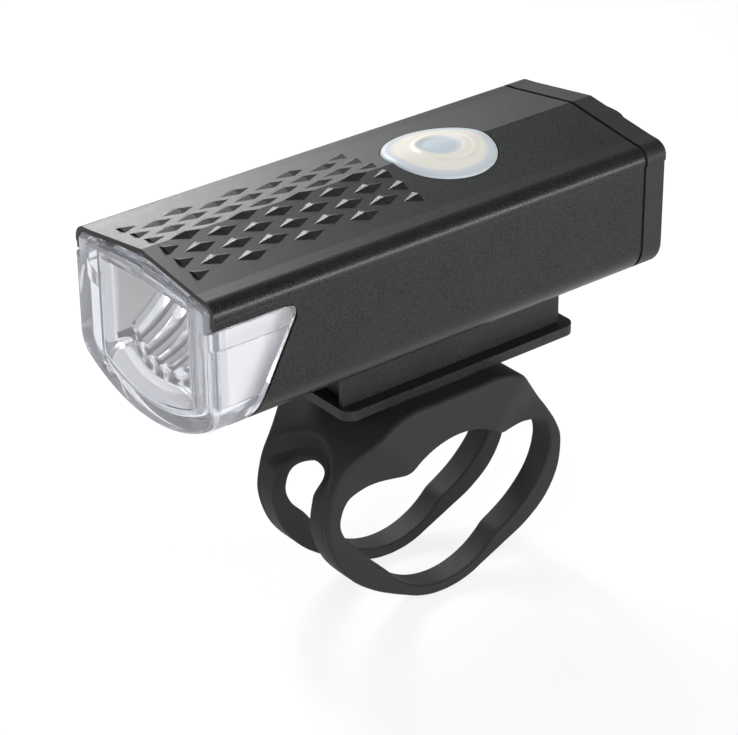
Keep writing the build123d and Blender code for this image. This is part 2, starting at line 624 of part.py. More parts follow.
def ear_gap():
    """Side view of the gap between the bar and the ear on the +Y side."""
    inner = Spline(
        (12.5, 10.0),
        (16.5, 9.6),
        (20.0, 8.4),
        (21.5, 5.0),
        (20.6, 1.8),
        (18.0, -1.3),
        (12.3, -6.7),
        tangents=[(1, -0.1), (-1, -1)],
    )
    return make_face(inner + Polyline((12.3, -6.7), (5, 0), (9.5, 10.4), (12.5, 10.0)))


def flank_plan(wide_to, narrow_from):
    """Half of the strap's plan view on the +Y side: wide at the saddle, narrower at the ears."""
    start = (SADDLE_HALF, wide_to)
    end = (LOOP_HALF, narrow_from)
    flank = Line((SADDLE_HALF, 0), start) + Spline(start, end, tangents=[(0, 1), (0, 1)])
    flank += Polyline(end, (LOOP_HALF, EAR_OUT_Y + 1), (0, EAR_OUT_Y + 1))
    return flank + mirror(flank, Plane.YZ)


def saddle_plan():
    """Plan view of the strap; the saddle reaches further forward than back."""
    return make_face(flank_plan(14.3, 18.2) + mirror(flank_plan(15.0, 22.0), Plane.XZ))


def strap_front_view():
    """Front view of the strap: the saddle's width above, the two loops' width below."""
    flank = Spline((SADDLE_HALF, 9.5), (LOOP_HALF, 5.0), tangents=[(0, -1), (0, -1)])
    high, low = SADDLE_TOP_Z + 1, -BAR_R - LOOP_T - 1
    right = Polyline((0, high), (SADDLE_HALF, high), (SADDLE_HALF, 9.5)) + flank
    right += Polyline((LOOP_HALF, 5.0), (LOOP_HALF, low), (0, low))
    return mirrored_loop(right)


def loop_space():
    """Cutter between the loops: an arched hole through each ear with a wider recess, open under the bar."""
    rise = radians(EAR_HOLE_RISE)
    arch = SlotOverall(EAR_HOLE_H, 2 * LOOP_SPACE, rotation=90)
    plane = Plane(origin=(0, 23.6, 5.6), x_dir=(1, 0, 0), z_dir=(0, cos(rise), sin(rise)))
    hole = extrude(plane * arch, amount=9, both=True)
    recess = plane.offset(-EAR_RECESS_DEEP) * SlotOverall(EAR_RECESS_H, EAR_RECESS_W, rotation=90)
    hole += extrude(recess, amount=6, dir=plane.z_dir)
    return hole + mirror(hole, Plane.XZ) + slab(LOOP_SPACE, -30, 30, -BAR_R - 10, 4.0)


def handlebar_strap():
    """Rubber strap in one piece: a saddle on the bar and two loops that go round under it."""
    gap = ear_gap()
    profile = strap_outer() - Circle(BAR_R) - gap - mirror(gap, Plane.YZ)
    strap = along_x(profile, SADDLE_HALF) & along_z(saddle_plan(), -30, 30)
    strap = (strap & along_y(strap_front_view(), -30, 30)) - loop_space()
    middle = sum(BASE_SCREW_YS) / 2
    strap -= along_z(Pos(0, middle) * RectangleRounded(12, 13, 1.5), INSERT_Z, INSERT_Z + INSERT_T)
    for y in BASE_SCREW_YS:
        strap -= rod_z(0, y, SCREW_R + 0.1, INSERT_Z - 0.5, SADDLE_TOP_Z + 1)
    front, top = TONGUE_ROOT_Y - 0.3, SADDLE_TOP_Z + 1
    relief = [(front, top), (front, SADDLE_TOP_Z - 0.3), (20, SADDLE_TOP_Z - 1.9), (20, top)]
    return strap - along_x(make_face(Polyline(*relief, close=True)), TONGUE_HALF + 0.4)


def write_parts():
    """Write one STEP file for each piece."""
    os.makedirs("parts", exist_ok=True)
    for name, shape in PARTS.items():
        export_step(shape, f"parts/{name}.step")


keep("body_shell", body_shell())
keep("lens", lens())
keep("lens_gasket", lens_gasket())
keep("reflector", reflector())
light_engine()
battery()
electronics()
led_leads()
keep("button_cap", button_cap())
keep("rear_gasket", rear_gasket())
keep("rear_cap", rear_cap())
keep("rear_cap_screws", cap_screws())
keep("usb_cover", usb_cover())
keep("cover_root", cover_root())
keep("slide_foot", slide_foot())
keep("foot_screws", foot_screws())
keep("bracket_base", bracket_base())
keep("bracket_screws", bracket_screws())
keep("strap_insert", strap_insert())
keep("release_tongue", release_tongue())
keep("handlebar_strap", handlebar_strap())
write_parts()
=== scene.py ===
# %% [markdown]
# # A bicycle front light on a rubber strap
# The light is a slim black shell with a gabled roof, raised diamonds, a milky push button and a
# clear lens that wraps round the front corners. It rides on a strap with two loops. The hard parts
# come from the CAD model and only get materials here. The strap, the lens, the fluted reflector,
# the button and the port cover are built again as smooth surfaces, because their rounded edges are
# what catches the light on the real one. The frame holds every CAD node, already in its place.

# %% Load the frame
import json
import math

import bmesh
import bpy
import numpy as np
from mathutils import Matrix, Vector


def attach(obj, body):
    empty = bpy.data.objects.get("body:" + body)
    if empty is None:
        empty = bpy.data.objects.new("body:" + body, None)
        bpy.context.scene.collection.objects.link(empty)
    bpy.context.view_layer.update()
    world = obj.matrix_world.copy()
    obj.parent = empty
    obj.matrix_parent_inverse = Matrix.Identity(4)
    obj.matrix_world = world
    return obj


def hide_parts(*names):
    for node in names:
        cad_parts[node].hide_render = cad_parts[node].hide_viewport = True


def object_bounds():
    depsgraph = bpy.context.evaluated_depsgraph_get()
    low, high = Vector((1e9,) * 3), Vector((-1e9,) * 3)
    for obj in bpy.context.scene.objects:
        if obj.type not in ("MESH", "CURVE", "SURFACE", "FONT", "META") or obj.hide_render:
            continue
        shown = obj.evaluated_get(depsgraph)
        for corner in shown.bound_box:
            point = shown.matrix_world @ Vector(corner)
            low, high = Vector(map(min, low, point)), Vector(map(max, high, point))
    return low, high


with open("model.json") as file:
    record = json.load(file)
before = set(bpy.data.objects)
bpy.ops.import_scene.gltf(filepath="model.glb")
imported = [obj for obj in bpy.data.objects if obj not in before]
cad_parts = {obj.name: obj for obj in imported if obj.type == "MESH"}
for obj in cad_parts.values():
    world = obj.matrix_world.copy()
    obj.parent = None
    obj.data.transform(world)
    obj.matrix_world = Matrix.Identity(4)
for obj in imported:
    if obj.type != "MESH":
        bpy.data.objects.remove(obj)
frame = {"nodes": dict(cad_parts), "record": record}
nodes = frame["nodes"]
cad_low, cad_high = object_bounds()

# %% [markdown]
# ## Camera
# The camera stands to the right of the beam and a little above it. Its long lens keeps the light's
# long edges almost parallel. It could be aimed by a constraint, but a constraint gives no roll. So
# its three axes are worked out from its compass angle, its height above the horizon and a very
# small roll, and they become the columns of its matrix.

# %% Camera
CAMERA_AT = Vector((0.29505, -0.24069, 0.23124))
AZIMUTH, ELEVATION, ROLL = (math.radians(a) for a in (51.78, 28.88, -0.58))
LENS_MM, SENSOR_MM, SEEN_FROM, SEEN_TO = 133.41, 36.0, 0.02, 20.0
camera = bpy.data.objects.new("camera", bpy.data.cameras.new("camera"))
camera.data.lens, camera.data.sensor_width = LENS_MM, SENSOR_MM
camera.data.clip_start, camera.data.clip_end = SEEN_FROM, SEEN_TO
flat = math.cos(ELEVATION)
backward = Vector((math.sin(AZIMUTH) * flat, -math.cos(AZIMUTH) * flat, math.sin(ELEVATION)))
sideways = Vector((0, 0, 1)).cross(backward).normalized()
axes = Matrix((sideways, backward.cross(sideways), backward)).transposed()
turned = axes @ Matrix.Rotation(ROLL, 3, "Z")
camera.matrix_world = Matrix.Translation(CAMERA_AT) @ turned.to_4x4()
bpy.context.scene.collection.objects.link(camera)
bpy.context.scene.camera = camera
print("camera at", tuple(round(v, 3) for v in CAMERA_AT))

# %% [markdown]
# ## Writing materials as sums
# A material is a net of nodes, which is slow to read when each node and link is a line of its own.
# Here a small class stands for one number that changes over a surface. Adding or multiplying such
# numbers adds the Math nodes that do it, so a finish can be written as an ordinary formula.

# %% Numbers that vary over a surface
class Number:
    """One output of a node. Arithmetic on it adds Math nodes to the same net."""

    def __init__(self, net, socket):
        self.net, self.socket = net, socket

    def worked(self, operation, *values):
        """Adds a Math node that works on the values in their order."""
        return self.net.add("ShaderNodeMath", {"operation": operation}, dict(enumerate(values)))

    def __add__(self, other):
        return self.worked("ADD", self, other)

    def __sub__(self, other):
        return self.worked("SUBTRACT", self, other)

    def __rsub__(self, other):
        return self.worked("SUBTRACT", other, self)

    def __mul__(self, other):
        return self.worked("MULTIPLY", self, other)

    def __truediv__(self, other):
        return self.worked("DIVIDE", self, other)

    def __pow__(self, other):
        return self.worked("POWER", self, other)

    def __abs__(self):
        return self.worked("ABSOLUTE", self)

    __radd__, __rmul__ = __add__, __mul__

    def larger(self, other):
        """The larger of two numbers."""
        return self.worked("MAXIMUM", self, other)

    def within(self, low, high):
        """Rises smoothly from 0 at low to 1 at high; low may be the larger of the two."""
        sockets = {"Value": self, "From Min": low, "From Max": high}
        return self.net.add("ShaderNodeMapRange", {"interpolation_type": "SMOOTHSTEP"}, sockets)


print("a Number takes + - * / ** and abs")

# %% [markdown]
# The nodes themselves are added by one method, which takes a kind of node, its settings and its
# sockets. It serves the materials and the world alike. A Finish is such a net with a Principled
# shader at its end. Its patterns sit on Object coordinates, so they stay put when a body moves.

# %% Nets of nodes
MIX_FIRST, MIX_SECOND, MIX_RESULT = 6, 7, 2  # the colour sockets of a Mix node


class Net:
    """The nodes of a material or of the world, with one shader that leads to the output."""

    def __init__(self, owner, shader, output, place):
        owner.use_nodes = True
        self.tree = owner.node_tree
        self.shader = self.tree.nodes[shader]
        self.output = self.tree.nodes[output].inputs["Surface"]
        self.place = self.add("ShaderNodeTexCoord", output=place)

    def add(self, kind, settings=None, sockets=None, output=0):
        """Adds a node of a kind, first its settings, then its sockets, and gives one output."""
        node = self.tree.nodes.new(kind)
        for name, value in (settings or {}).items():
            setattr(node, name, value)
        self.fill(node, sockets or {})
        return Number(self, node.outputs[output])

    def fill(self, node, sockets):
        """Sets or links each socket, by number or by name, with _ for a space."""
        for name, value in sockets.items():
            socket = node.inputs[name.replace("_", " ") if isinstance(name, str) else name]
            if isinstance(value, Number):
                self.tree.links.new(value.socket, socket)
            else:
                socket.default_value = value

    def set(self, **sockets):
        """Gives sockets of the shader."""
        self.fill(self.shader, sockets)

    def mixed_with(self, amount, kind="ShaderNodeBsdfPrincipled", **sockets):
        """Mixes a second shader in: amount 0 is the first alone, 1 the second alone."""
        first, second = Number(self, self.shader.outputs[0]), self.add(kind, {}, sockets)
        mixed = self.add("ShaderNodeMixShader", {}, {0: amount, 1: first, 2: second})
        self.tree.links.new(mixed.socket, self.output)

    def noise(self, scale, detail=2.0, place=None):
        """Cloudy pattern from 0 to 1; scale is in waves a metre."""
        sockets = {"Vector": place or self.place, "Scale": scale, "Detail": detail}
        return self.add("ShaderNodeTexNoise", {}, sockets)

    def stretched(self, x, y, z):
        """The surface's place, stretched along the three axes."""
        return self.add("ShaderNodeMapping", {}, {"Vector": self.place, "Scale": (x, y, z)})

    def axis(self, name):
        """One coordinate of the place, in metres."""
        return self.add("ShaderNodeSeparateXYZ", {}, {"Vector": self.place}, name)

    def between(self, amount, first, second):
        """Colour that goes from first to second as amount goes from 0 to 1."""
        sockets = {0: amount, MIX_FIRST: (*first, 1), MIX_SECOND: (*second, 1)}
        return self.add("ShaderNodeMix", {"data_type": "RGBA"}, sockets, MIX_RESULT)

    def bumps(self, height, depth):
        """Bump whose height of 1 stands for a depth in metres."""
        sockets = {"Height": height, "Distance": depth, "Strength": 1.0}
        return self.add("ShaderNodeBump", {}, sockets)


class Finish(Net):
    """A material with a Principled shader and patterns on the object's own coordinates."""

    def __init__(self, name, **shader):
        self.material = bpy.data.materials.new(name)
        super().__init__(self.material, "Principled BSDF", "Material Output", "Object")
        self.set(**shader)


print("a mixed colour leaves a Mix node by output", MIX_RESULT)

# %% [markdown]
# ## Black finishes
# The shell is aluminium, blasted with fine grit and anodised black, so it is dark, satin and very
# finely grained, and its roof is blasted coarser than its sides. The mouldings are black plastic
# with a spark-eroded texture. Rubber is duller still. One flat black would look like paint, so each
# finish mixes a coarse cloud, which varies the colour a little, with a grain well under a tenth of
# a millimetre, which breaks up the gloss as the real surface does.

# %% Black finishes
CLOUD_WAVES, ROOF_FROM_Z, ROOF_TO_Z = 120.0, 0.0548, 0.0555


def grained_black(name, dark, light, rough, grain, depth, gloss, coarser_roof=0.0):
    """Satin black: a coarse cloud varies colour and gloss, and a fine grain gives the bumps."""
    black = Finish(name, Specular_IOR_Level=gloss)
    cloud, fine = black.noise(CLOUD_WAVES, 3.0), black.noise(grain)
    speckle = fine.within(0.36, 0.64)
    on_roof = black.axis("Z").within(ROOF_FROM_Z, ROOF_TO_Z)
    black.set(
        Base_Color=black.between(cloud * 0.35 + speckle * 0.65, dark, light),
        Roughness=rough + on_roof * coarser_roof + cloud * 0.05 + speckle * 0.1,
        Normal=black.bumps(fine, depth),
    )
    return black


anodised = grained_black("black_anodised", (0.0015, 0.0018, 0.0015), (0.0165, 0.0175, 0.0155),
                         rough=0.25, grain=3600.0, depth=0.00002, gloss=0.28, coarser_roof=0.15)
plastic = grained_black("black_plastic", (0.005, 0.0053, 0.005), (0.020, 0.0205, 0.0195),
                        rough=0.42, grain=3800.0, depth=0.00003, gloss=0.27)
rubber = grained_black("black_rubber", (0.009, 0.0096, 0.0096), (0.017, 0.018, 0.018),
                       rough=0.58, grain=3000.0, depth=0.00002, gloss=0.26)
print("black finishes", [f.material.name for f in (anodised, plastic, rubber)])

# %% [markdown]
# ## Clear plastic
# The lens is polished polycarbonate. Glass alone shows whatever is behind it, and behind this one
# is a pale studio, so its thick edges would vanish. On the real one they scatter some light. A
# second, milky shader is therefore mixed in: a trace over the pane and more on the wall beside,
# under and over it. The bound over the pane follows the fall of the roof.

# %% Clear plastic
PANE_SIDE_X, PANE_LOW_Z, PANE_TOP_Z = (0.0108, 0.0120), (0.0345, 0.0330), (0.0540, 0.0552)
LEAST_HAZE, EDGE_HAZE = 0.03, 0.1
clear = Finish("clear_polycarbonate", Transmission_Weight=1.0, IOR=1.53,
               Base_Color=(0.953, 0.96, 0.992, 1))
clear.set(Roughness=0.015 + clear.noise(300.0) * 0.02)
clear_x, clear_z = abs(clear.axis("X")), clear.axis("Z")
beside_pane, under_pane = clear_x.within(*PANE_SIDE_X), clear_z.within(*PANE_LOW_Z)
over_pane = (clear_z + clear_x * 0.15).within(*PANE_TOP_Z)
haze = beside_pane.larger(under_pane).larger(over_pane)
milky = {"Base_Color": (0.875, 0.89, 0.965, 1), "Roughness": 0.3}
clear.mixed_with(LEAST_HAZE + haze * EDGE_HAZE, **milky)
print("haze from", LEAST_HAZE, "to", LEAST_HAZE + EDGE_HAZE)

# %% [markdown]
# ## Plated reflector
# The reflector's bowl is bright chrome. Its cheeks are satin, and so is the lining behind the side
# windows, which is a little darker: the cheeks are painted lighter, a painted light on them. Chrome
# shows only what it mirrors, and a pale studio gives it nothing dark. The darks could come from
# black cards round the light, but those would darken the shell too. So the valleys between the
# flutes, the teeth of the rim and the frame right under and beside the mouth are painted dark
# instead, as painted shade and painted reflections of dark surroundings. The masks come from the
# formulas of the shape: the width of a flute, and the rim, whose depth is y = rim + bow * x^2.

# %% Chrome and satin plating
BOWL_HALF, FLUTES = 9.6, 6
RIM_Y, RIM_BOW, RIM_LOW_Z, RIM_RISE = -46.1, 0.0211, 37.8, 0.025
MM_IN_METRE = 1000.0
chrome = Finish("chrome_plating", Metallic=1.0)
chrome_cloud = chrome.noise(500.0, 3.0)
chrome_x, chrome_y, chrome_z = (chrome.axis(name) * MM_IN_METRE for name in "XYZ")
flute_place = chrome_x / (2 * BOWL_HALF / FLUTES) + FLUTES / 2
from_ridge = abs(flute_place - flute_place.worked("FLOOR", flute_place) - 0.5)
valley, tooth = from_ridge.within(0.26, 0.5), from_ridge.within(0.06, 0.3)
behind_rim = chrome_y - chrome_x * chrome_x * RIM_BOW - RIM_Y
on_floor = behind_rim.within(-0.2, -0.1)
rim_face = on_floor * behind_rim.within(0.5, 0.15)
under_rim = (chrome_z - chrome_x * chrome_x * RIM_RISE - RIM_LOW_Z).within(-2.3, -2.7)
beside_mouth = abs(chrome_x).within(9.65, 9.8)
on_frame = (1 - on_floor) * (under_rim + beside_mouth)
# painted shade and painted dark reflections in the valleys, on the rim's teeth and on the frame;
# the cloud adds a random tone
painted_dark_and_cloud = on_floor * valley * 0.88 + rim_face * tooth * 0.85 + on_frame * 0.35 + chrome_cloud * 0.06
chrome.set(
    Base_Color=chrome.between(painted_dark_and_cloud, (0.94, 0.94, 0.945), (0.05, 0.055, 0.075)),
    Roughness=0.05 + chrome_cloud * 0.05,
)

satin = Finish("satin_plating", Metallic=1.0)
satin_cloud = satin.noise(160.0, 3.0)
on_cheek = abs(satin.axis("X")).within(0.0106, 0.0101)
# painted light: the cheeks are painted lighter than the lining; the cloud adds a random tone
cheek_painted_light_and_cloud = satin_cloud * 0.3 + on_cheek * 0.7
satin.set(
    Base_Color=satin.between(cheek_painted_light_and_cloud, (0.88, 0.868, 0.83), (0.995, 0.99, 0.96)),
    Roughness=0.5 + satin_cloud * 0.1 + on_cheek * 0.2,
)
print("a flute is", 2 * BOWL_HALF / FLUTES, "mm wide")

# %% [markdown]
# ## Milky silicone
# The button is milky silicone over small lamps. Light goes a little way into it, which a subsurface
# weight gives. Its rim and its dish look bluish, and the ring between them is warmer. Both tints
# are masks by distance, one from the dish and one from the button's middle.

# %% Silicone
BUTTON_Y = 5.8
PAD_Y = BUTTON_Y + 1.2
DISH_X, DISH_Y = -0.7, PAD_Y - 0.6
silicone = Finish("milky_silicone", Subsurface_Weight=0.25, Subsurface_Scale=0.002,
                  Specular_IOR_Level=0.3)


def away_from(x, y):
    """Distance in mm over the plan: the root of the squared differences in x and y."""
    along_x, along_y = silicone.axis("X") * MM_IN_METRE, silicone.axis("Y") * MM_IN_METRE
    return ((along_x - x) ** 2 + (along_y - y) ** 2) ** 0.5


dish_tint = away_from(DISH_X, DISH_Y).within(3.9, 3.0)
rim_tint = away_from(0.0, BUTTON_Y).within(6.8, 8.0) * 0.85
silicone_cloud = silicone.noise(400.0)
silicone.set(
    Base_Color=silicone.between(dish_tint + rim_tint, (0.65, 0.625, 0.555), (0.43, 0.485, 0.53)),
    Roughness=0.46 + silicone_cloud * 0.12,
    Normal=silicone.bumps(silicone_cloud, 0.00003),
)
print("pad centred on y", PAD_Y, "mm")

# %% [markdown]
# ## Metals and the parts inside
# Screws, strips and the parts inside the shell hardly show, but the model can be opened, so each
# still gets its own finish. Moulded and coated parts have a cloud between two near colours. Drawn
# or milled metal has fine lines along the light, which are the same cloud squeezed across and
# stretched along Y. Every CAD node then takes the finish of its own material slot.

# %% Metals and the parts inside
def mottled(name, first, second, rough, grain=1500.0):
    """A plain finish with a cloud between two near colours and a slight grain."""
    made = Finish(name)
    cloud = made.noise(grain, 3.0)
    made.set(Base_Color=made.between(cloud, first, second), Roughness=rough + cloud * 0.1,
             Normal=made.bumps(cloud, 0.00001))
    return made


def drawn_metal(name, first, second, rough):
    """Metal with fine lines along the light."""
    made = Finish(name, Metallic=1.0)
    lines = made.noise(900.0, 4.0, made.stretched(4.0, 0.15, 4.0))
    made.set(Base_Color=made.between(lines, first, second), Roughness=rough + lines * 0.15,
             Normal=made.bumps(lines, 0.00001))
    return made


finishes = {
    "anodised_shell": anodised,
    "black_plastic": plastic,
    "black_rubber": rubber,
    "clear_plastic": clear,
    "chrome_plating": chrome,
    "white_silicone": silicone,
    "led_yellow": mottled("led_phosphor", (0.78, 0.62, 0.12), (0.9, 0.78, 0.25), 0.3),
    "bare_aluminium": drawn_metal("bare_aluminium", (0.62, 0.62, 0.64), (0.78, 0.78, 0.8), 0.3),
    "nickel": drawn_metal("nickel_strip", (0.6, 0.58, 0.55), (0.74, 0.72, 0.68), 0.22),
    "steel_screw": drawn_metal("blackened_steel", (0.06, 0.06, 0.065), (0.12, 0.12, 0.12), 0.34),
    "cell_wrap": mottled("cell_wrap", (0.05, 0.16, 0.42), (0.08, 0.22, 0.5), 0.25),
    "inner_plastic": mottled("inner_plastic", (0.6, 0.6, 0.57), (0.7, 0.7, 0.67), 0.45),
    "circuit_board": mottled("solder_mask", (0.015, 0.13, 0.05), (0.03, 0.2, 0.08), 0.3, 3000.0),
    "chips": mottled("chip_epoxy", (0.02, 0.02, 0.02), (0.045, 0.045, 0.045), 0.5, 5000.0),
    "red_wire": mottled("red_insulation", (0.45, 0.02, 0.02), (0.6, 0.04, 0.03), 0.35),
    "black_wire": mottled("black_insulation", (0.015, 0.015, 0.015), (0.03, 0.03, 0.03), 0.35),
}
for row in frame["record"]["subparts"]:
    mesh = nodes[row["node"]].data
    mesh.materials.clear()
    mesh.materials.append(finishes[row["material_slot"]].material)
print("finishes", len(finishes))

# %% [markdown]
# ## Surfaces from arrays
# The new pieces could be modelled from blocks with bevels, but a wrapped lens or a strap changes
# its section all the time. So every piece starts as a grid of points, worked out with numpy as a
# function of two parameters, and the grid's neighbours make its faces. Points that fall together,
# as at a pole or a seam, are merged, and all faces are turned outwards.

# %% Grids and pieces
MM = 0.001
MERGED_WITHIN = 2e-6


def grid_faces(rows, columns, close_rows=False, close_columns=False):
    """Four-sided faces between neighbours of a grid, wrapped round in either direction."""
    index = np.arange(rows * columns).reshape(rows, columns)
    if close_rows:
        index = np.vstack([index, index[:1]])
    if close_columns:
        index = np.hstack([index, index[:, :1]])
    corners = (index[:-1, :-1], index[1:, :-1], index[1:, 1:], index[:-1, 1:])
    return np.stack(corners, -1).reshape(-1, 4)


def rings(rows, close_rows=False):
    """Grid of closed rings. Each row is a ring's points (x, z) and their depth y."""
    grid = np.stack([np.stack([ring_xz[:, 0], y + 0 * ring_xz[:, 0], ring_xz[:, 1]], 1)
                     for ring_xz, y in rows])
    return grid, grid_faces(*grid.shape[:2], close_rows, close_columns=True)


def piece(name, grids, finish, body, stands_for=(), sharp=35.0):
    """Joins grids of points (in mm) and their faces into one mesh that rides on a body."""
    points, faces, start = [], [], 0
    for grid, quads in grids:
        points.append(grid.reshape(-1, 3) * MM)
        faces.append(quads + start)
        start += len(points[-1])
    mesh = bpy.data.meshes.new(name)
    mesh.from_pydata(np.vstack(points).tolist(), [], np.vstack(faces).tolist())
    editable = bmesh.new()
    editable.from_mesh(mesh)
    bmesh.ops.remove_doubles(editable, verts=editable.verts, dist=MERGED_WITHIN)
    bmesh.ops.recalc_face_normals(editable, faces=editable.faces)
    editable.to_mesh(mesh)
    open_edges = sum(1 for e in editable.edges if len(e.link_faces) != 2)
    editable.free()
    mesh.shade_smooth()
    mesh.set_sharp_from_angle(angle=math.radians(sharp))
    mesh.materials.append(finish.material)
    made = bpy.data.objects.new(name, mesh)
    bpy.context.scene.collection.objects.link(made)
    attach(made, body)
    if stands_for:
        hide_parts(*stands_for)
    print(name, len(mesh.polygons), "faces,", open_edges, "open edges")
    return made


# %% [markdown]
# ## The light's section
# The lens and the reflector both follow the shell's section: a gable roof, upright sides and a
# rounded belly. A point on it is found by its angle round the middle. The section drawn in by some
# distance keeps its straight sides, so it is what lies inside all of the side lines once each has
# moved inwards. That is one formula for every edge of the lens.

# %% Section of the light
ROOF_Z, CREASE, SHOULDER, BEAD_R = 57.8, (13.3, 55.8), (15.15, 55.6), 2.15
SIDE_X, CORNER_Z, CORNER_R, BARREL_TURN = 17.3, 38.4, 5.0, math.radians(32.0)
MIDDLE_Z, ANY_WIDTH, FAR_OFF = 44.0, 99.0, 1000.0
TINY, SAME_POINT = 1e-6, 1e-9


def arc(x, z, radius, start, end, count=14):
    """Points on an arc in the section, angles in radians from +X."""
    angle = np.linspace(start, end, count)
    return np.stack([x + radius * np.cos(angle), z + radius * np.sin(angle)], 1)


corner_x = SIDE_X - CORNER_R * (1 - math.sin(BARREL_TURN))
barrel_r = corner_x / math.sin(BARREL_TURN)
barrel_z = CORNER_Z - CORNER_R * math.cos(BARREL_TURN) + barrel_r * math.cos(BARREL_TURN)
right_side = np.vstack([
    [(0, ROOF_Z), CREASE],
    arc(SHOULDER[0], SHOULDER[1] - BEAD_R, BEAD_R, math.pi / 2, 0),
    arc(SIDE_X - CORNER_R, CORNER_Z, CORNER_R, 0, BARREL_TURN - math.pi / 2),
    arc(0, barrel_z, barrel_r, BARREL_TURN - math.pi / 2, -math.pi / 2),
])
left_side = right_side[-2:0:-1] * (-1, 1)
outline = np.vstack([right_side, left_side])
to_next = np.roll(outline, -1, 0) - outline
apart = np.linalg.norm(to_next, axis=1) > SAME_POINT
ring, steps = outline[apart], to_next[apart]
normals = np.stack([-steps[:, 1], steps[:, 0]], 1) / np.linalg.norm(steps, axis=1)[:, None]
reaches = np.sum(normals * (ring - (0, MIDDLE_Z)), 1)


def section(angle, inset, half_width=ANY_WIDTH):
    """Points (x, z) at angles round the middle, on the section drawn in by inset.

    Along each direction the radius is the smallest (reach of a side line - inset) divided by how
    much the direction leans towards that line. half_width cuts the section off at both sides.
    """
    angle, inset = np.broadcast_arrays(np.asarray(angle, float), inset)
    toward = np.stack([np.cos(angle), np.sin(angle)], -1)
    lean = toward @ normals.T
    radius = (reaches - inset[..., None]) / np.maximum(lean, TINY)
    radius = np.where(lean > TINY, radius, FAR_OFF).min(-1)
    radius = np.minimum(radius, half_width / np.maximum(np.abs(toward[..., 0]), TINY))
    return radius[..., None] * toward + (0, MIDDLE_Z)


def smooth(value, low, high):
    """0 below low, 1 above high, with a soft start and end; low may be the larger."""
    t = np.clip((value - low) / (high - low), 0, 1)
    return t * t * (3 - 2 * t)


print("section from z", ring[:, 1].min().round(2), "to", ring[:, 1].max())

# %% [markdown]
# ## Lens
# The lens is one clear moulding. Its flat front pane turns round the corners into two side windows
# that end in a slanted edge. That end could be cut off with a plane, but it has a rounded upper
# corner, so it is a function of the height. The lens is carried round the section by its angles,
# with extra ones wherever the outline turns sharply.

# %% Where the lens ends
LENS_FRONT_Y, PANE_BACK_Y, SHELL_FRONT_Y, SEAT_DEPTH = -50.15, -47.95, -49.5, 3.8
CUT_TOP_Z, CUT_BACK_Y, CUT_LEAN, CUT_ROUND, SEAL = 51.6, -33.5, 0.53, 2.0, 0.42
step_angle = math.atan2(CUT_TOP_Z - SEAL - MIDDLE_Z, SIDE_X)


def side_reach(z):
    """Where the side window ends: a slanted line with a rounded upper corner.

    y = back - lean * (top - z) - (r - root of (r^2 - c^2)), c being how far z is in the corner.
    """
    corner = np.clip(CUT_ROUND - np.clip(CUT_TOP_Z - SEAL - z, 0, None), 0, CUT_ROUND)
    rounding = CUT_ROUND - np.sqrt(CUT_ROUND ** 2 - corner ** 2)
    return CUT_BACK_Y - SEAL - (CUT_TOP_Z - z) * CUT_LEAN - rounding


def lens_angles():
    """Angles all round, with extra ones at the section's corners and at the roof's edge."""
    corners = np.arctan2(ring[:, 1] - MIDDLE_Z, ring[:, 0])
    half = np.unique(np.concatenate([
        np.linspace(-math.pi / 2, math.pi / 2, 181), corners[np.abs(corners) <= math.pi / 2],
        step_angle + np.array([-0.04, -0.02, -0.008, 0.0, 0.0005, 0.006, 0.02]),
    ]))
    return np.concatenate([half, math.pi - half[-2:0:-1]])


print("side window reaches y", side_reach(np.array([CUT_TOP_Z - 5, 36.0])).round(1))

# %% [markdown]
# A thin shell would look like film, so the lens has a wall with both its faces. The wall's profile
# is followed once, from the middle of the pane outwards, round the soft front edge, back along the
# side, and inside it forward again. Carried round the section, it gives the whole moulding. Real
# refraction then draws the bright and bluish lines along its edges. A collar inside the wall meets
# the reflector.

# %% Lens
EDGE_ROUND, LIP_ROUND, LENS_WALL, PANE_ROUND, ROOF_INSET = 1.0, 0.15, 2.6, 0.3, 0.9
SKIRT_INSET, SKIRT_L, LEDGE_Z, LEDGE_STEP, JUST_OVER = 1.55, 2.0, 47.8, 0.6, 1e-4
COLLAR_INSETS, COLLAR_FROM, COLLAR_TO, COLLAR_HALF = (2.8, 3.7, 3.7, 2.8), -0.2, 0.9, 12.2


def lens_wall():
    """Grid of the lens: rows go along the wall's profile, columns round the section.

    A row is an inset from the section, a depth y, and a share that draws it in to the middle.
    """
    angle, turn = lens_angles(), np.linspace(0, math.pi / 2, 8)
    under_roof = np.sin(angle) > math.sin(step_angle) + JUST_OVER
    outer = np.where(under_roof, ROOF_INSET, 0.0)
    height = section(angle, outer)[:, 1]
    back = np.where(under_roof, SHELL_FRONT_Y + SEAT_DEPTH, side_reach(height))
    end = back + np.where(under_roof, 0.0, SKIRT_L)
    skirt = np.maximum(outer + 0.2, SKIRT_INSET)
    ledge = LEDGE_STEP * smooth(height, LEDGE_Z - 0.2, LEDGE_Z + 0.2)
    inner = LENS_WALL - np.where(under_roof, 0.0, ledge)
    side_from, inside_to = LENS_FRONT_Y + EDGE_ROUND, PANE_BACK_Y + PANE_ROUND
    rows = [(outer + EDGE_ROUND, LENS_FRONT_Y, share) for share in (0, 0.3, 0.6, 0.85)]
    rows += [(outer + EDGE_ROUND * (1 - math.sin(a)), side_from - EDGE_ROUND * math.cos(a), 1)
             for a in turn]
    rows += [(outer, side_from + (back - LIP_ROUND - side_from) * t, 1) for t in (0.1, 0.5, 0.9, 1)]
    rows += [(outer + LIP_ROUND, back, 1), (skirt, back, 1), (skirt, end, 1), (inner, end, 1)]
    rows += [(inner, inside_to + (end - inside_to) * t, 1) for t in (0.6, 0.2, 0)]
    rows += [(LENS_WALL + PANE_ROUND, PANE_BACK_Y, share) for share in (1, 0.7, 0.35, 0)]
    middle = (0, MIDDLE_Z)
    return rings([((section(angle, inset) - middle) * share + middle, y)
                  for inset, y, share in rows])


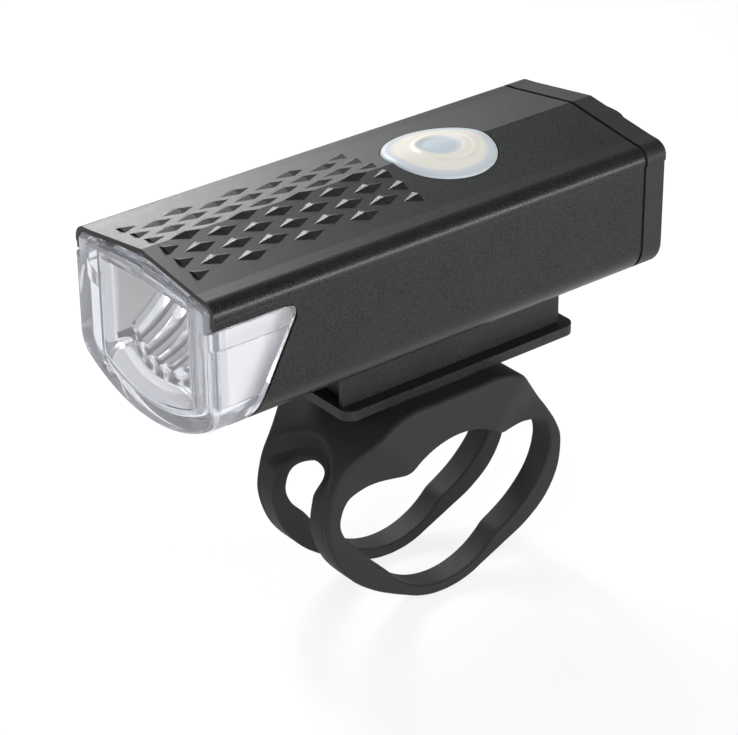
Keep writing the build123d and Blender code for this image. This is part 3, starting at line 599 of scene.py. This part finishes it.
def band(insets, depths, half_width):
    """Closed ring that follows the section: its cross-section has corners at insets and depths.

    The side cut moves in with the inset, so the ring keeps one wall thickness.
    """
    angle = np.linspace(0, 2 * math.pi, 240, endpoint=False)
    rows = [(section(angle, inset, half_width - (inset - insets[0])), PANE_BACK_Y + depth)
            for inset, depth in zip(insets, depths)]
    return rings(rows, close_rows=True)


collar = band(COLLAR_INSETS, (COLLAR_FROM, COLLAR_FROM, COLLAR_TO, COLLAR_TO), COLLAR_HALF)
piece("lens_clear", [lens_wall(), collar], clear, "light", ["lens"])

# %% [markdown]
# ## Reflector
# Behind the pane sits a chromed half bowl. Its floor is pressed into six rounded flutes that run
# back at a gentle slope and then turn up behind the emitter. A bump in the material would not show
# in the mirror's outline, so the flutes are real. Seen from the side, the floor is a curve with
# three control points. Half circles across the width lift it along its normal, which makes the
# flutes and, at the front, the scalloped rim.

# %% Fluted floor
CHEEK_FRONT_Y, BOWL_Z, UNDERCUT = -47.0, 52.4, 1.3
DEEP_Y, DEEP_BOW, DEEP_CLIMB, DEEP_CLIMB_BOW, TOP_BACK = -34.4, 0.012, 0.25, 0.0047, 0.6
FLUTE_H, FLUTE_STEPS, FLOOR_STEPS = 0.9, 20, 56


def floor_curve(x, t, lift=0.0):
    """Point of the bowl's floor over x; t goes from the front rim to the top.

    (1-t)^2 start + 2t(1-t) bend + t^2 end, plus lift along the curve's normal.
    """
    front, rim = RIM_Y + RIM_BOW * x ** 2, RIM_LOW_Z + RIM_RISE * x ** 2
    deep = DEEP_Y - DEEP_BOW * x ** 2
    start = np.stack([front, rim], -1)
    bend = np.stack([deep, rim + (deep - front) * (DEEP_CLIMB + DEEP_CLIMB_BOW * x ** 2)], -1)
    end = np.stack([deep - TOP_BACK, BOWL_Z + 0 * x], -1)
    t = np.asarray(t)[..., None]
    point = (1 - t) ** 2 * start + 2 * t * (1 - t) * bend + t ** 2 * end
    slope = (1 - t) * (bend - start) + t * (end - bend)
    normal = np.stack([-slope[..., 1], slope[..., 0]], -1)
    normal /= np.linalg.norm(slope, axis=-1)[..., None]
    point = point + normal * np.asarray(lift)[..., None]
    return np.stack([x + 0 * point[..., 0], point[..., 0], point[..., 1]], -1)


def fluted_floor():
    """Grid across the width and back along the floor; its first row is the rim's upright face.

    The lift is height * root of (1 - a^2), a going from -1 to 1 across each flute.
    """
    x = np.linspace(-BOWL_HALF, BOWL_HALF, FLUTES * FLUTE_STEPS + 1)
    across = (np.arange(len(x)) % FLUTE_STEPS) / (FLUTE_STEPS / 2) - 1
    rib = FLUTE_H * np.sqrt(np.clip(1 - across ** 2, 0, 1))
    across_x, t = np.meshgrid(x, np.linspace(0, 1, FLOOR_STEPS), indexing="ij")
    grid = floor_curve(across_x, t, rib[:, None] + 0 * t)
    front = RIM_Y + RIM_BOW * x ** 2
    grid[:, 0, 1] = front
    under = np.stack([x, front + 0.1, RIM_LOW_Z + RIM_RISE * x ** 2 - UNDERCUT], -1)
    grid = np.concatenate([under[:, None], grid], 1)
    return grid, grid_faces(*grid.shape[:2])


def cheek(side):
    """D-shaped side of the bowl: from its upright front edge back to the floor's edge."""
    t, share = np.meshgrid(np.linspace(0, 1, FLOOR_STEPS), np.linspace(0, 1, 12), indexing="ij")
    edge = floor_curve(np.full_like(t, side * BOWL_HALF), t)
    front = np.stack([edge[..., 0], np.full_like(t, CHEEK_FRONT_Y), edge[..., 2]], -1)
    grid = front + (edge - front) * share[..., None]
    return grid, grid_faces(*grid.shape[:2])


def top_deck():
    """Flat roof of the bowl that carries the emitter's board."""
    across, along = np.linspace(-BOWL_HALF, BOWL_HALF, 40), np.linspace(0, 1, 16)
    x, share = np.meshgrid(across, along, indexing="ij")
    back = floor_curve(x, np.ones_like(x))[..., 1]
    y = CHEEK_FRONT_Y + (back - CHEEK_FRONT_Y) * share
    grid = np.stack([x, y, np.full_like(x, BOWL_Z)], -1)
    return grid, grid_faces(*grid.shape[:2])


print("floor of", fluted_floor()[0].shape[:2], "points")

# %% [markdown]
# A chromed frame joins the bowl's mouth to the lens's collar, and a satin lining stands behind the
# side windows, so they never show the dark inside of the shell. Both are rings round the middle,
# like the lens. They are sheets, which a Solidify modifier turns into a wall. That keeps their
# formulas simple.

# %% Reflector
FRAME_INSET, FRAME_HALF, FRAME_Y, FRAME_RIM = 3.8, 11.2, -47.85, 1.4
FRAME_SLOPE = ((0, 0), (0.12, 0.0), (0.2, 0.3), (0.6, 0.62), (0.7, 0.8), (1, 1))
LINING_INSET, LINING_HALF, LINING_FROM_Y = 3.1, 13.7, FRAME_Y + 2.2
PLATING_WALL = 0.4


def mouth(angle):
    """Front opening of the bowl: upright sides, a flat top and a floor z = low + rise * x^2.

    Along each angle the radius is the smallest of the distances to the side, top and floor.
    """
    c, s = np.cos(angle), np.sin(angle)
    side = BOWL_HALF / np.maximum(np.abs(c), TINY)
    top = (BOWL_Z - MIDDLE_Z) / np.maximum(s, TINY)
    down = MIDDLE_Z - RIM_LOW_Z + UNDERCUT
    floor = 2 * down / np.maximum(np.sqrt(s ** 2 + 4 * RIM_RISE * c ** 2 * down) - s, TINY)
    radius = np.minimum(np.minimum(side, top), floor)
    return np.stack([radius * c, MIDDLE_Z + radius * s], -1)


def front_frame():
    """From the mouth, whose lower lip is set back under the rim, out to the clear collar."""
    angle = np.linspace(0, 2 * math.pi, 480, endpoint=False)
    inner, outer = mouth(angle), section(angle, FRAME_INSET, FRAME_HALF)
    x, lip_top = inner[:, 0], RIM_LOW_Z - UNDERCUT + RIM_RISE * BOWL_HALF ** 2
    on_lip = (inner[:, 1] < lip_top + 0.01) * smooth(np.abs(x), BOWL_HALF, BOWL_HALF - 0.4)
    lip_y = CHEEK_FRONT_Y + (RIM_Y + RIM_BOW * x ** 2 + 0.1 - CHEEK_FRONT_Y) * on_lip
    rows = [(inner + (outer - inner) * share, lip_y + (FRAME_Y - lip_y) * forward)
            for share, forward in FRAME_SLOPE]
    return rings(rows + [(outer, FRAME_Y + FRAME_RIM)])


def housing():
    """Lining from the frame's edge out and back, then a flange behind the lens."""
    angle = np.linspace(0, 2 * math.pi, 400, endpoint=False)
    wide, near = section(angle, LINING_INSET, LINING_HALF), LINING_FROM_Y
    under_roof = wide[:, 1] > CUT_TOP_Z
    window_end = side_reach(wide[:, 1]) + SKIRT_L + 0.15
    far = np.maximum(np.where(under_roof, SHELL_FRONT_Y + 3.9, window_end), near + 0.1)
    return rings([
        (section(angle, FRAME_INSET, FRAME_HALF), near - 0.8),
        (section(angle, 3.3, 12.9), near - 0.5), (wide, near), (wide, far),
        (section(angle, np.where(under_roof, 1.0, 1.7)), far),
    ])


bowl = [fluted_floor(), front_frame(), top_deck()]
linings = [cheek(-1), cheek(1), housing()]
for sheet in (
    piece("reflector_chrome", bowl, chrome, "light", ["reflector"], sharp=50.0),
    piece("reflector_lining", linings, satin, "light"),
):
    wall = sheet.modifiers.new("wall", "SOLIDIFY")
    wall.thickness, wall.offset = PLATING_WALL * MM, 0.0

# %% [markdown]
# ## Button
# The button is a round silicone cap that follows the gabled roof. It has a rounded edge, a thin
# raised ring and a shallow dish. Sculpting it would leave the ring uneven. Over the round plan its
# height is one formula: the roof, softened along the ridge, plus the ring and minus the dish.

# %% Button
BUTTON_R, FLANGE_R, FLANGE_LOW, FLANGE_TOP = 9.05, 10.1, 53.9, 54.6
FLAT_SHARE, RIM_SHARE, RIM_FALL = 0.9, 0.1, 0.5
ROOF_SLOPE, ABOVE_ROOF, RIDGE_SOFT = (ROOF_Z - CREASE[1]) / CREASE[0], 0.45, 2.5
RING_UP, RING_R, RING_W, PAD_UP, DISH_DEEP = 0.11, 4.75, 0.45, 0.08, 0.2


def button_height(x, y):
    """Roof softened along the ridge, a ring on the pad's edge and a dish inside it.

    The roof is top - slope * root of (x^2 + soft), the ring up * e^-((distance - r) / w)^2.
    """
    away, from_dish = np.hypot(x, y - PAD_Y), np.hypot(x - DISH_X, y - DISH_Y)
    roof = ROOF_Z + ABOVE_ROOF - ROOF_SLOPE * np.sqrt(x ** 2 + RIDGE_SOFT)
    ring_up = RING_UP * np.exp(-((away - RING_R) / RING_W) ** 2)
    pad, dish = PAD_UP * smooth(away, 5.6, 4.4), DISH_DEEP * smooth(from_dish, 4.2, 2.4)
    return roof + ring_up + pad - dish


def button_cap():
    """Disc: rows go from the middle over the rounded rim, down the side and under the flange."""
    angle = np.linspace(0, 2 * math.pi, 144, endpoint=False)
    over_rim = FLAT_SHARE + RIM_SHARE * np.sin(np.linspace(0.2, math.pi / 2, 8))
    radius = np.concatenate([np.linspace(0, FLAT_SHARE, 60), over_rim]) * BUTTON_R
    edge = np.clip((radius / BUTTON_R - FLAT_SHARE) / RIM_SHARE, 0, 1)
    x, y = radius[:, None] * np.cos(angle), BUTTON_Y + radius[:, None] * np.sin(angle)
    fall = (RIM_FALL * (1 - np.sqrt(1 - edge ** 2)))[:, None]
    rows = [np.stack([x, y, button_height(x, y) - fall], -1)]
    flange = ((BUTTON_R, FLANGE_TOP), (FLANGE_R, FLANGE_TOP), (FLANGE_R, FLANGE_LOW))
    for r, z in flange + ((0, FLANGE_LOW),):
        y = BUTTON_Y + r * np.sin(angle)
        rows.append(np.stack([r * np.cos(angle), y, np.full_like(angle, z)], -1)[None])
    grid = np.vstack(rows)
    return grid, grid_faces(*grid.shape[:2], close_columns=True)


piece("button_silicone", [button_cap()], silicone, "button", ["button_cap"])

# %% [markdown]
# ## Port cover
# At the back a rubber flap closes the charging port. It is a small pillow with rounded corners, a
# pull lip near its top edge and a plug behind. A bevelled block would do, but a power curve also
# bows the sides a little, as soft rubber does: the higher the power, the squarer it is. Its rows
# shrink towards the middle as the pillow's edge turns over.

# %% Port cover
COVER_NEAR, COVER_FAR = 38.05, 39.15


def rounded_plan(angle, half_x, half_z, power):
    """Rounded rectangle |x/a|^n + |z/b|^n = 1, found along each angle."""
    c, s = np.cos(angle), np.sin(angle)
    radius = (np.abs(c / half_x) ** power + np.abs(s / half_z) ** power) ** (-1 / power)
    return np.stack([radius * c, radius * s], -1)


def pillow(centre, half_x, half_z, near, far, rounding, power=6.0):
    """Rounded block along Y between near and far, with its edges rounded over."""
    angle = np.linspace(0, 2 * math.pi, 96, endpoint=False)
    turns = np.linspace(0, math.pi / 2, 6)
    over = [(rounding * (1 - math.sin(a)), rounding * (1 - math.cos(a))) for a in turns]
    rows = [(1.0, near, 0.0)] + [(inset, near + depth, 1.0) for inset, depth in over]
    rows += [(inset, far - depth, 1.0) for inset, depth in over[::-1]]
    rows += [(rounding, far, 0.5), (1.0, far, 0.0)]
    return rings([(rounded_plan(angle, half_x - inset, half_z - inset, power) * share + centre, y)
                  for inset, y, share in rows])


cover = [
    pillow((0, 52.65), 6.5, 3.65, COVER_NEAR, COVER_FAR, 0.4),
    pillow((0, 54.95), 2.5, 0.45, COVER_FAR - 0.45, COVER_FAR + 0.6, 0.25, 4.0),
    pillow((0, 53.2), 3.9, 1.25, COVER_NEAR - 1.3, COVER_NEAR + 0.45, 0.25),
]
piece("port_cover_rubber", cover, rubber, "usb_cover", ["usb_cover"])

# %% [markdown]
# ## Rubber strap in side view
# The strap is one rubber moulding: a saddle on top and two loops that run down round its bore. A
# bent plate would keep one thickness, but the real one swells and thins all the way. Seen from the
# side, its outside and its inside are each a distance from the axis that changes with the angle.
# Both are read off smooth lines through corners. Front (-1) and back (1) have lines of their own,
# because they differ.

# %% Strap in side view
BORE_R, LOOP_T, SADDLE_TOP, SADDLE_HALF, LOOP_HALF, SLOT_HALF = 14.3, 2.0, 21.6, 12.4, 9.5, 4.7


def smooth_line(corners, count=24):
    """Smooth curve through corners: each run is a cubic that blends its neighbours' directions."""
    p = np.asarray(corners, float)
    p = np.vstack([2 * p[0] - p[1], p, 2 * p[-1] - p[-2]])
    t = np.linspace(0, 1, count, endpoint=False)[:, None]
    runs = []
    for a, b, c, d in zip(p, p[1:], p[2:], p[3:]):
        square, cube = 2 * a - 5 * b + 4 * c - d, 3 * b - a - 3 * c + d
        runs.append(0.5 * (2 * b + (c - a) * t + square * t ** 2 + cube * t ** 3))
    return np.vstack(runs + [p[-2:-1]])


def low_end(turn):
    """Point on the loop's round underside, turn degrees below the horizontal."""
    angle = math.radians(turn)
    return ((BORE_R + LOOP_T) * math.cos(angle), -(BORE_R + LOOP_T) * math.sin(angle))


UNDERSIDE = [low_end(turn) for turn in (62, 70, 80, 90)]
TOP = [(0.01, SADDLE_TOP), (4.5, SADDLE_TOP), (9.0, SADDLE_TOP)]
OUTSIDE = {
    1: TOP + [(13.2, 20.3), (15.9, 17.4), (18.9, 13.6), (21.6, 9.9), (23.7, 6.3), (24.6, 3.2),
              (24.0, -2.0), (21.4, -6.6), (17.2, -10.0), (12.6, -12.2)] + UNDERSIDE,
    -1: TOP + [(13.0, 20.4), (17.0, 17.7), (20.0, 15.0), (22.2, 11.9), (23.6, 8.4), (24.2, 3.4),
               (22.4, -2.4), (18.9, -7.1), (14.9, -10.4), (11.2, -12.6)] + UNDERSIDE,
}
EAR_GAP = {
    1: [(9.7, 10.5), (11.2, 9.9), (13.2, 9.7), (16.5, 9.5), (20.2, 8.3), (21.9, 5.0), (21.6, 1.2),
        (19.8, -2.6), (16.6, -6.0), (13.2, -8.4), (10.2, -10.0)],
    -1: [(9.7, 10.5), (12.5, 10.0), (16.5, 9.6), (20.0, 8.4), (21.5, 5.0), (20.6, 1.8),
         (18.0, -1.3), (15.6, -4.6), (13.3, -6.9), (11.4, -8.6)],
}


def reach_at(turn, corners):
    """Distance from the axis at angles above the horizontal, read off (y, z) corners."""
    line = smooth_line(corners)
    angle, radius = np.arctan2(line[:, 1], line[:, 0]), np.hypot(line[:, 0], line[:, 1])
    order = np.argsort(angle)
    return np.interp(turn, angle[order], radius[order])


def strap_outside(turn, side):
    """Distance of the outer skin from the axis."""
    return reach_at(turn, OUTSIDE[side])


def strap_inside(turn, side):
    """The bore's own radius, except where the ear stands away from it; the two blend softly."""
    ends = np.arctan2(*np.transpose(EAR_GAP[side])[::-1])
    in_gap = (turn > ends.min()) & (turn < ends.max())
    away = np.maximum(np.where(in_gap, reach_at(turn, EAR_GAP[side]), BORE_R) - BORE_R, 0)
    return BORE_R + away ** 2 / np.sqrt(away ** 2 + 0.8)


def strap_half_width(turn, side):
    """Wide over the saddle, narrow on the loops."""
    radius = strap_outside(turn, side)
    y, z = radius * np.cos(turn), radius * np.sin(turn)
    wide_to, narrow_from = (12.5, 20.5) if side > 0 else (15.0, 22.2)
    narrow = np.maximum(smooth(y, wide_to, narrow_from), smooth(z, 9.5, 4.5))
    return SADDLE_HALF - (SADDLE_HALF - LOOP_HALF) * narrow


print("ear stands out to", round(float(strap_outside(np.array([0.14]), 1)[0]), 1), "mm")

# %% [markdown]
# ## Strap skin
# Unrolled round its axis, the strap is a band with one long slot between the loops. Cutting that
# slot with a boolean would leave hard edges. So it is modelled as a band whose inner edge first
# follows the slot, then its round end, then the middle of the saddle. Near any edge its skin drops
# by a quarter circle, which gives the soft rubber corners. The skin also scoops in over the slot's
# end, and a fine groove runs beside the loops' outer edge.

# %% Strap skin
SLOT_TOP, SLOT_SPAN, SHOULDER_TURN = math.radians(30.0), math.radians(12.0), 0.72
SLOT_FROM = SLOT_TOP - SLOT_SPAN
MEAN_R, EDGE_SOFT, SLOT_SOFT = 22.0, 0.85, 0.4
SCOOP_DEEP, GROOVE_DEEP, GROOVE_IN, GROOVE_W = 3.0, 0.16, 1.35, 0.22
RAMP_DOWN, RAMP_SLOPE, RAMP_Y = 0.3, 0.117, 6.3
LOOP_STEPS, END_STEPS, SADDLE_STEPS, ACROSS_STEPS = 120, 26, 50, 30


def strap_plan(side):
    """The band unrolled: angles and places x, from its inner edge to its outer edge."""
    up, quarter = math.pi / 2, np.linspace(0, math.pi / 2, END_STEPS)[1:]
    loop = np.linspace(-up, SLOT_FROM, LOOP_STEPS)
    end, saddle = np.linspace(0, 1, END_STEPS)[1:], np.linspace(0, 1, SADDLE_STEPS)[1:]
    inner_turn = np.concatenate([
        loop, SLOT_FROM + SLOT_SPAN * np.sin(quarter), SLOT_TOP + (up - SLOT_TOP) * saddle ** 1.25])
    inner_x = [np.ones_like(loop), np.cos(quarter), np.zeros_like(saddle)]
    inner_x = SLOT_HALF * np.concatenate(inner_x)[:, None]
    outer_turn = np.concatenate([
        loop, SLOT_FROM + (SHOULDER_TURN - SLOT_FROM) * end,
        SHOULDER_TURN + (up - SHOULDER_TURN) * saddle])
    share = (1 - np.cos(np.linspace(0, math.pi, ACROSS_STEPS))) / 2
    turn = inner_turn[:, None] + (outer_turn - inner_turn)[:, None] * share
    x = inner_x + (strap_half_width(outer_turn, side)[:, None] - inner_x) * share
    return turn, np.minimum(x, strap_half_width(turn, side))


def drop(away, radius):
    """How far a quarter-round edge of that radius lies below the skin, at a distance from it."""
    inward = np.clip(1 - away / radius, 0, 1)
    return radius * (1 - np.sqrt(1 - inward ** 2))


def strap_skins(turn, x, side):
    """Distances of the outer skin and of the underside from the axis."""
    outside, inside = strap_outside(turn, side), strap_inside(turn, side)
    along = MEAN_R * np.clip(turn - SLOT_FROM, 0, None)
    from_slot, from_edge = np.hypot(along, x) - SLOT_HALF, strap_half_width(turn, side) - x
    rounding = np.minimum(EDGE_SOFT, (outside - inside) * 0.42)
    above = smooth(along / (from_slot + SLOT_HALF), 0.1, 0.95)
    scoop = SCOOP_DEEP * above * smooth(from_slot, 4.1, 1.9)
    groove = GROOVE_DEEP * np.exp(-((from_edge - GROOVE_IN) / GROOVE_W) ** 2)
    skin = outside - scoop - groove * smooth(turn, 0.45, 0.1)
    at_slot = drop(from_slot, np.minimum(rounding, SLOT_SOFT))
    skin = skin - np.maximum(drop(from_edge, rounding), at_slot)
    under = inside + np.maximum(drop(from_edge, rounding * 0.7), drop(from_slot, rounding * 0.6))
    return skin, np.minimum(under, skin - 0.05)


def strap_half(side):
    """One quarter of the strap, x > 0: from under the bore, up one ear, to the saddle's middle.

    Parameter one runs along the band, parameter two over its skin and back underneath.
    """
    turn, x = strap_plan(side)
    skin, under = strap_skins(turn, x, side)
    middle = (skin + under) / 2
    radius = np.concatenate([skin, middle[:, -1:], under[:, ::-1], middle[:, :1]], 1)
    x, turn = (np.concatenate([a, a[:, -1:], a[:, ::-1], a[:, :1]], 1) for a in (x, turn))
    grid = np.stack([x, side * radius * np.cos(turn), radius * np.sin(turn)], -1)
    if side > 0:
        # room under the release tongue: a shallow ramp cut in the middle of the saddle's rear
        ramp = SADDLE_TOP - RAMP_DOWN - RAMP_SLOPE * (grid[..., 1] - RAMP_Y)
        masked = smooth(np.abs(grid[..., 0]), 3.6, 3.0) * smooth(grid[..., 1], 5.6, 6.4)
        lowered = grid[..., 2] - np.clip(grid[..., 2] - ramp, 0, None) * masked
        grid[..., 2] = np.where(grid[..., 2] > 15.0, lowered, grid[..., 2])
    quads = grid_faces(*grid.shape[:2], close_columns=True)
    on_middle = np.abs(grid.reshape(-1, 3)[quads][:, :, 0]).max(1) < TINY
    return grid, quads[~on_middle]


quarters = []
for side in (1, -1):
    grid, quads = strap_half(side)
    quarters += [(grid, quads), (grid * (-1, 1, 1), quads)]
piece("strap_rubber", quarters, rubber, "bracket", ["handlebar_strap"], sharp=60.0)

# %% [markdown]
# ## Floor and world
# The floor is a plain pale sheet under the object. White paper lit by more lamps would also burn
# out the object, so the white comes from the rays instead. Light Path tells what kind of ray asks.
# Camera rays see the floor nearly white, and it still takes a soft shadow. The world looks white to
# the camera and through clear plastic. All else sees a fill that is brighter near the horizon than
# overhead, as in a room with pale walls.

# %% Floor and world
FLOOR_HALF, FLOOR_Z, FLOOR_GLOW = 3.0, cad_low.z - 0.0003, 0.82
FILL_LOW, FILL_HIGH, FILL_HIGH_FROM = 0.6, 0.3, 0.6
floor_mesh = bpy.data.meshes.new("floor")
square = ((-1, -1), (1, -1), (1, 1), (-1, 1))
corners = [(x * FLOOR_HALF, y * FLOOR_HALF, FLOOR_Z) for x, y in square]
floor_mesh.from_pydata(corners, [], [(0, 1, 2, 3)])
floor = bpy.data.objects.new("floor", floor_mesh)
bpy.context.scene.collection.objects.link(floor)


def asked_by(net, first, *others):
    """1 for a ray of one of the kinds that Light Path names, else 0."""
    total = net.add("ShaderNodeLightPath", output=first)
    for kind in others:
        total = total.larger(net.add("ShaderNodeLightPath", output=kind))
    return total


paper = Finish("pale_paper", Specular_IOR_Level=0.0, Roughness=0.9)
paper.set(Base_Color=paper.between(paper.noise(60.0), (0.86, 0.86, 0.86), (0.88, 0.88, 0.88)))
seen = asked_by(paper, "Is Camera Ray", "Is Glossy Ray", "Is Transmission Ray")
paper.mixed_with(seen * FLOOR_GLOW, "ShaderNodeEmission")
floor_mesh.materials.append(paper.material)

world = bpy.data.worlds.new("studio")
bpy.context.scene.world = world
sky = Net(world, "Background", "World Output", "Generated")
limits = {"From Max": FILL_HIGH_FROM, "To Min": FILL_LOW, "To Max": FILL_HIGH}
strength = sky.add("ShaderNodeMapRange", {}, {"Value": sky.axis("Z"), **limits})
sky.set(Color=(0.93, 0.95, 1.0, 1), Strength=strength)
seen_through = asked_by(sky, "Is Camera Ray", "Is Transmission Ray")
sky.mixed_with(seen_through, "ShaderNodeBackground", Color=(1, 1, 1, 1), Strength=1.0)
print("floor at", round(FLOOR_Z * MM_IN_METRE, 2), "mm, fill from", FILL_LOW, "to", FILL_HIGH)

# %% [markdown]
# ## Lamps
# A satin black body shows little but reflections, so a lamp overhead would leave it dull. Each lamp
# stands where the camera sees it mirrored: one on the far left for the roof and the diamonds, one
# low strip behind on the right for the rounded shoulder and the side, and a broad one in front.

# %% Lamps
LAMP_AIM = Vector((0.0, -0.010, 0.052))


def lamp(name, place, size, watts):
    """Soft lamp of a width and height at a place, turned to the light; its power is in watts."""
    made = bpy.data.objects.new(name, bpy.data.lights.new(name, "AREA"))
    made.data.shape, made.data.energy = "RECTANGLE", watts
    made.data.size, made.data.size_y = size
    made.location = place
    made.rotation_mode = "QUATERNION"
    made.rotation_quaternion = (LAMP_AIM - Vector(place)).to_track_quat("-Z", "Y")
    made.visible_camera = False
    bpy.context.scene.collection.objects.link(made)


lamp("roof_sheen", (-0.262, 0.080, 0.225), (0.062, 0.143), 1.2)
lamp("side_strip", (0.243, 0.045, 0.063), (0.337, 0.045), 0.66)
lamp("front", (0.26, -0.56, 0.32), (0.4, 0.4), 2.2)
bpy.context.scene.view_settings.view_transform = "Standard"
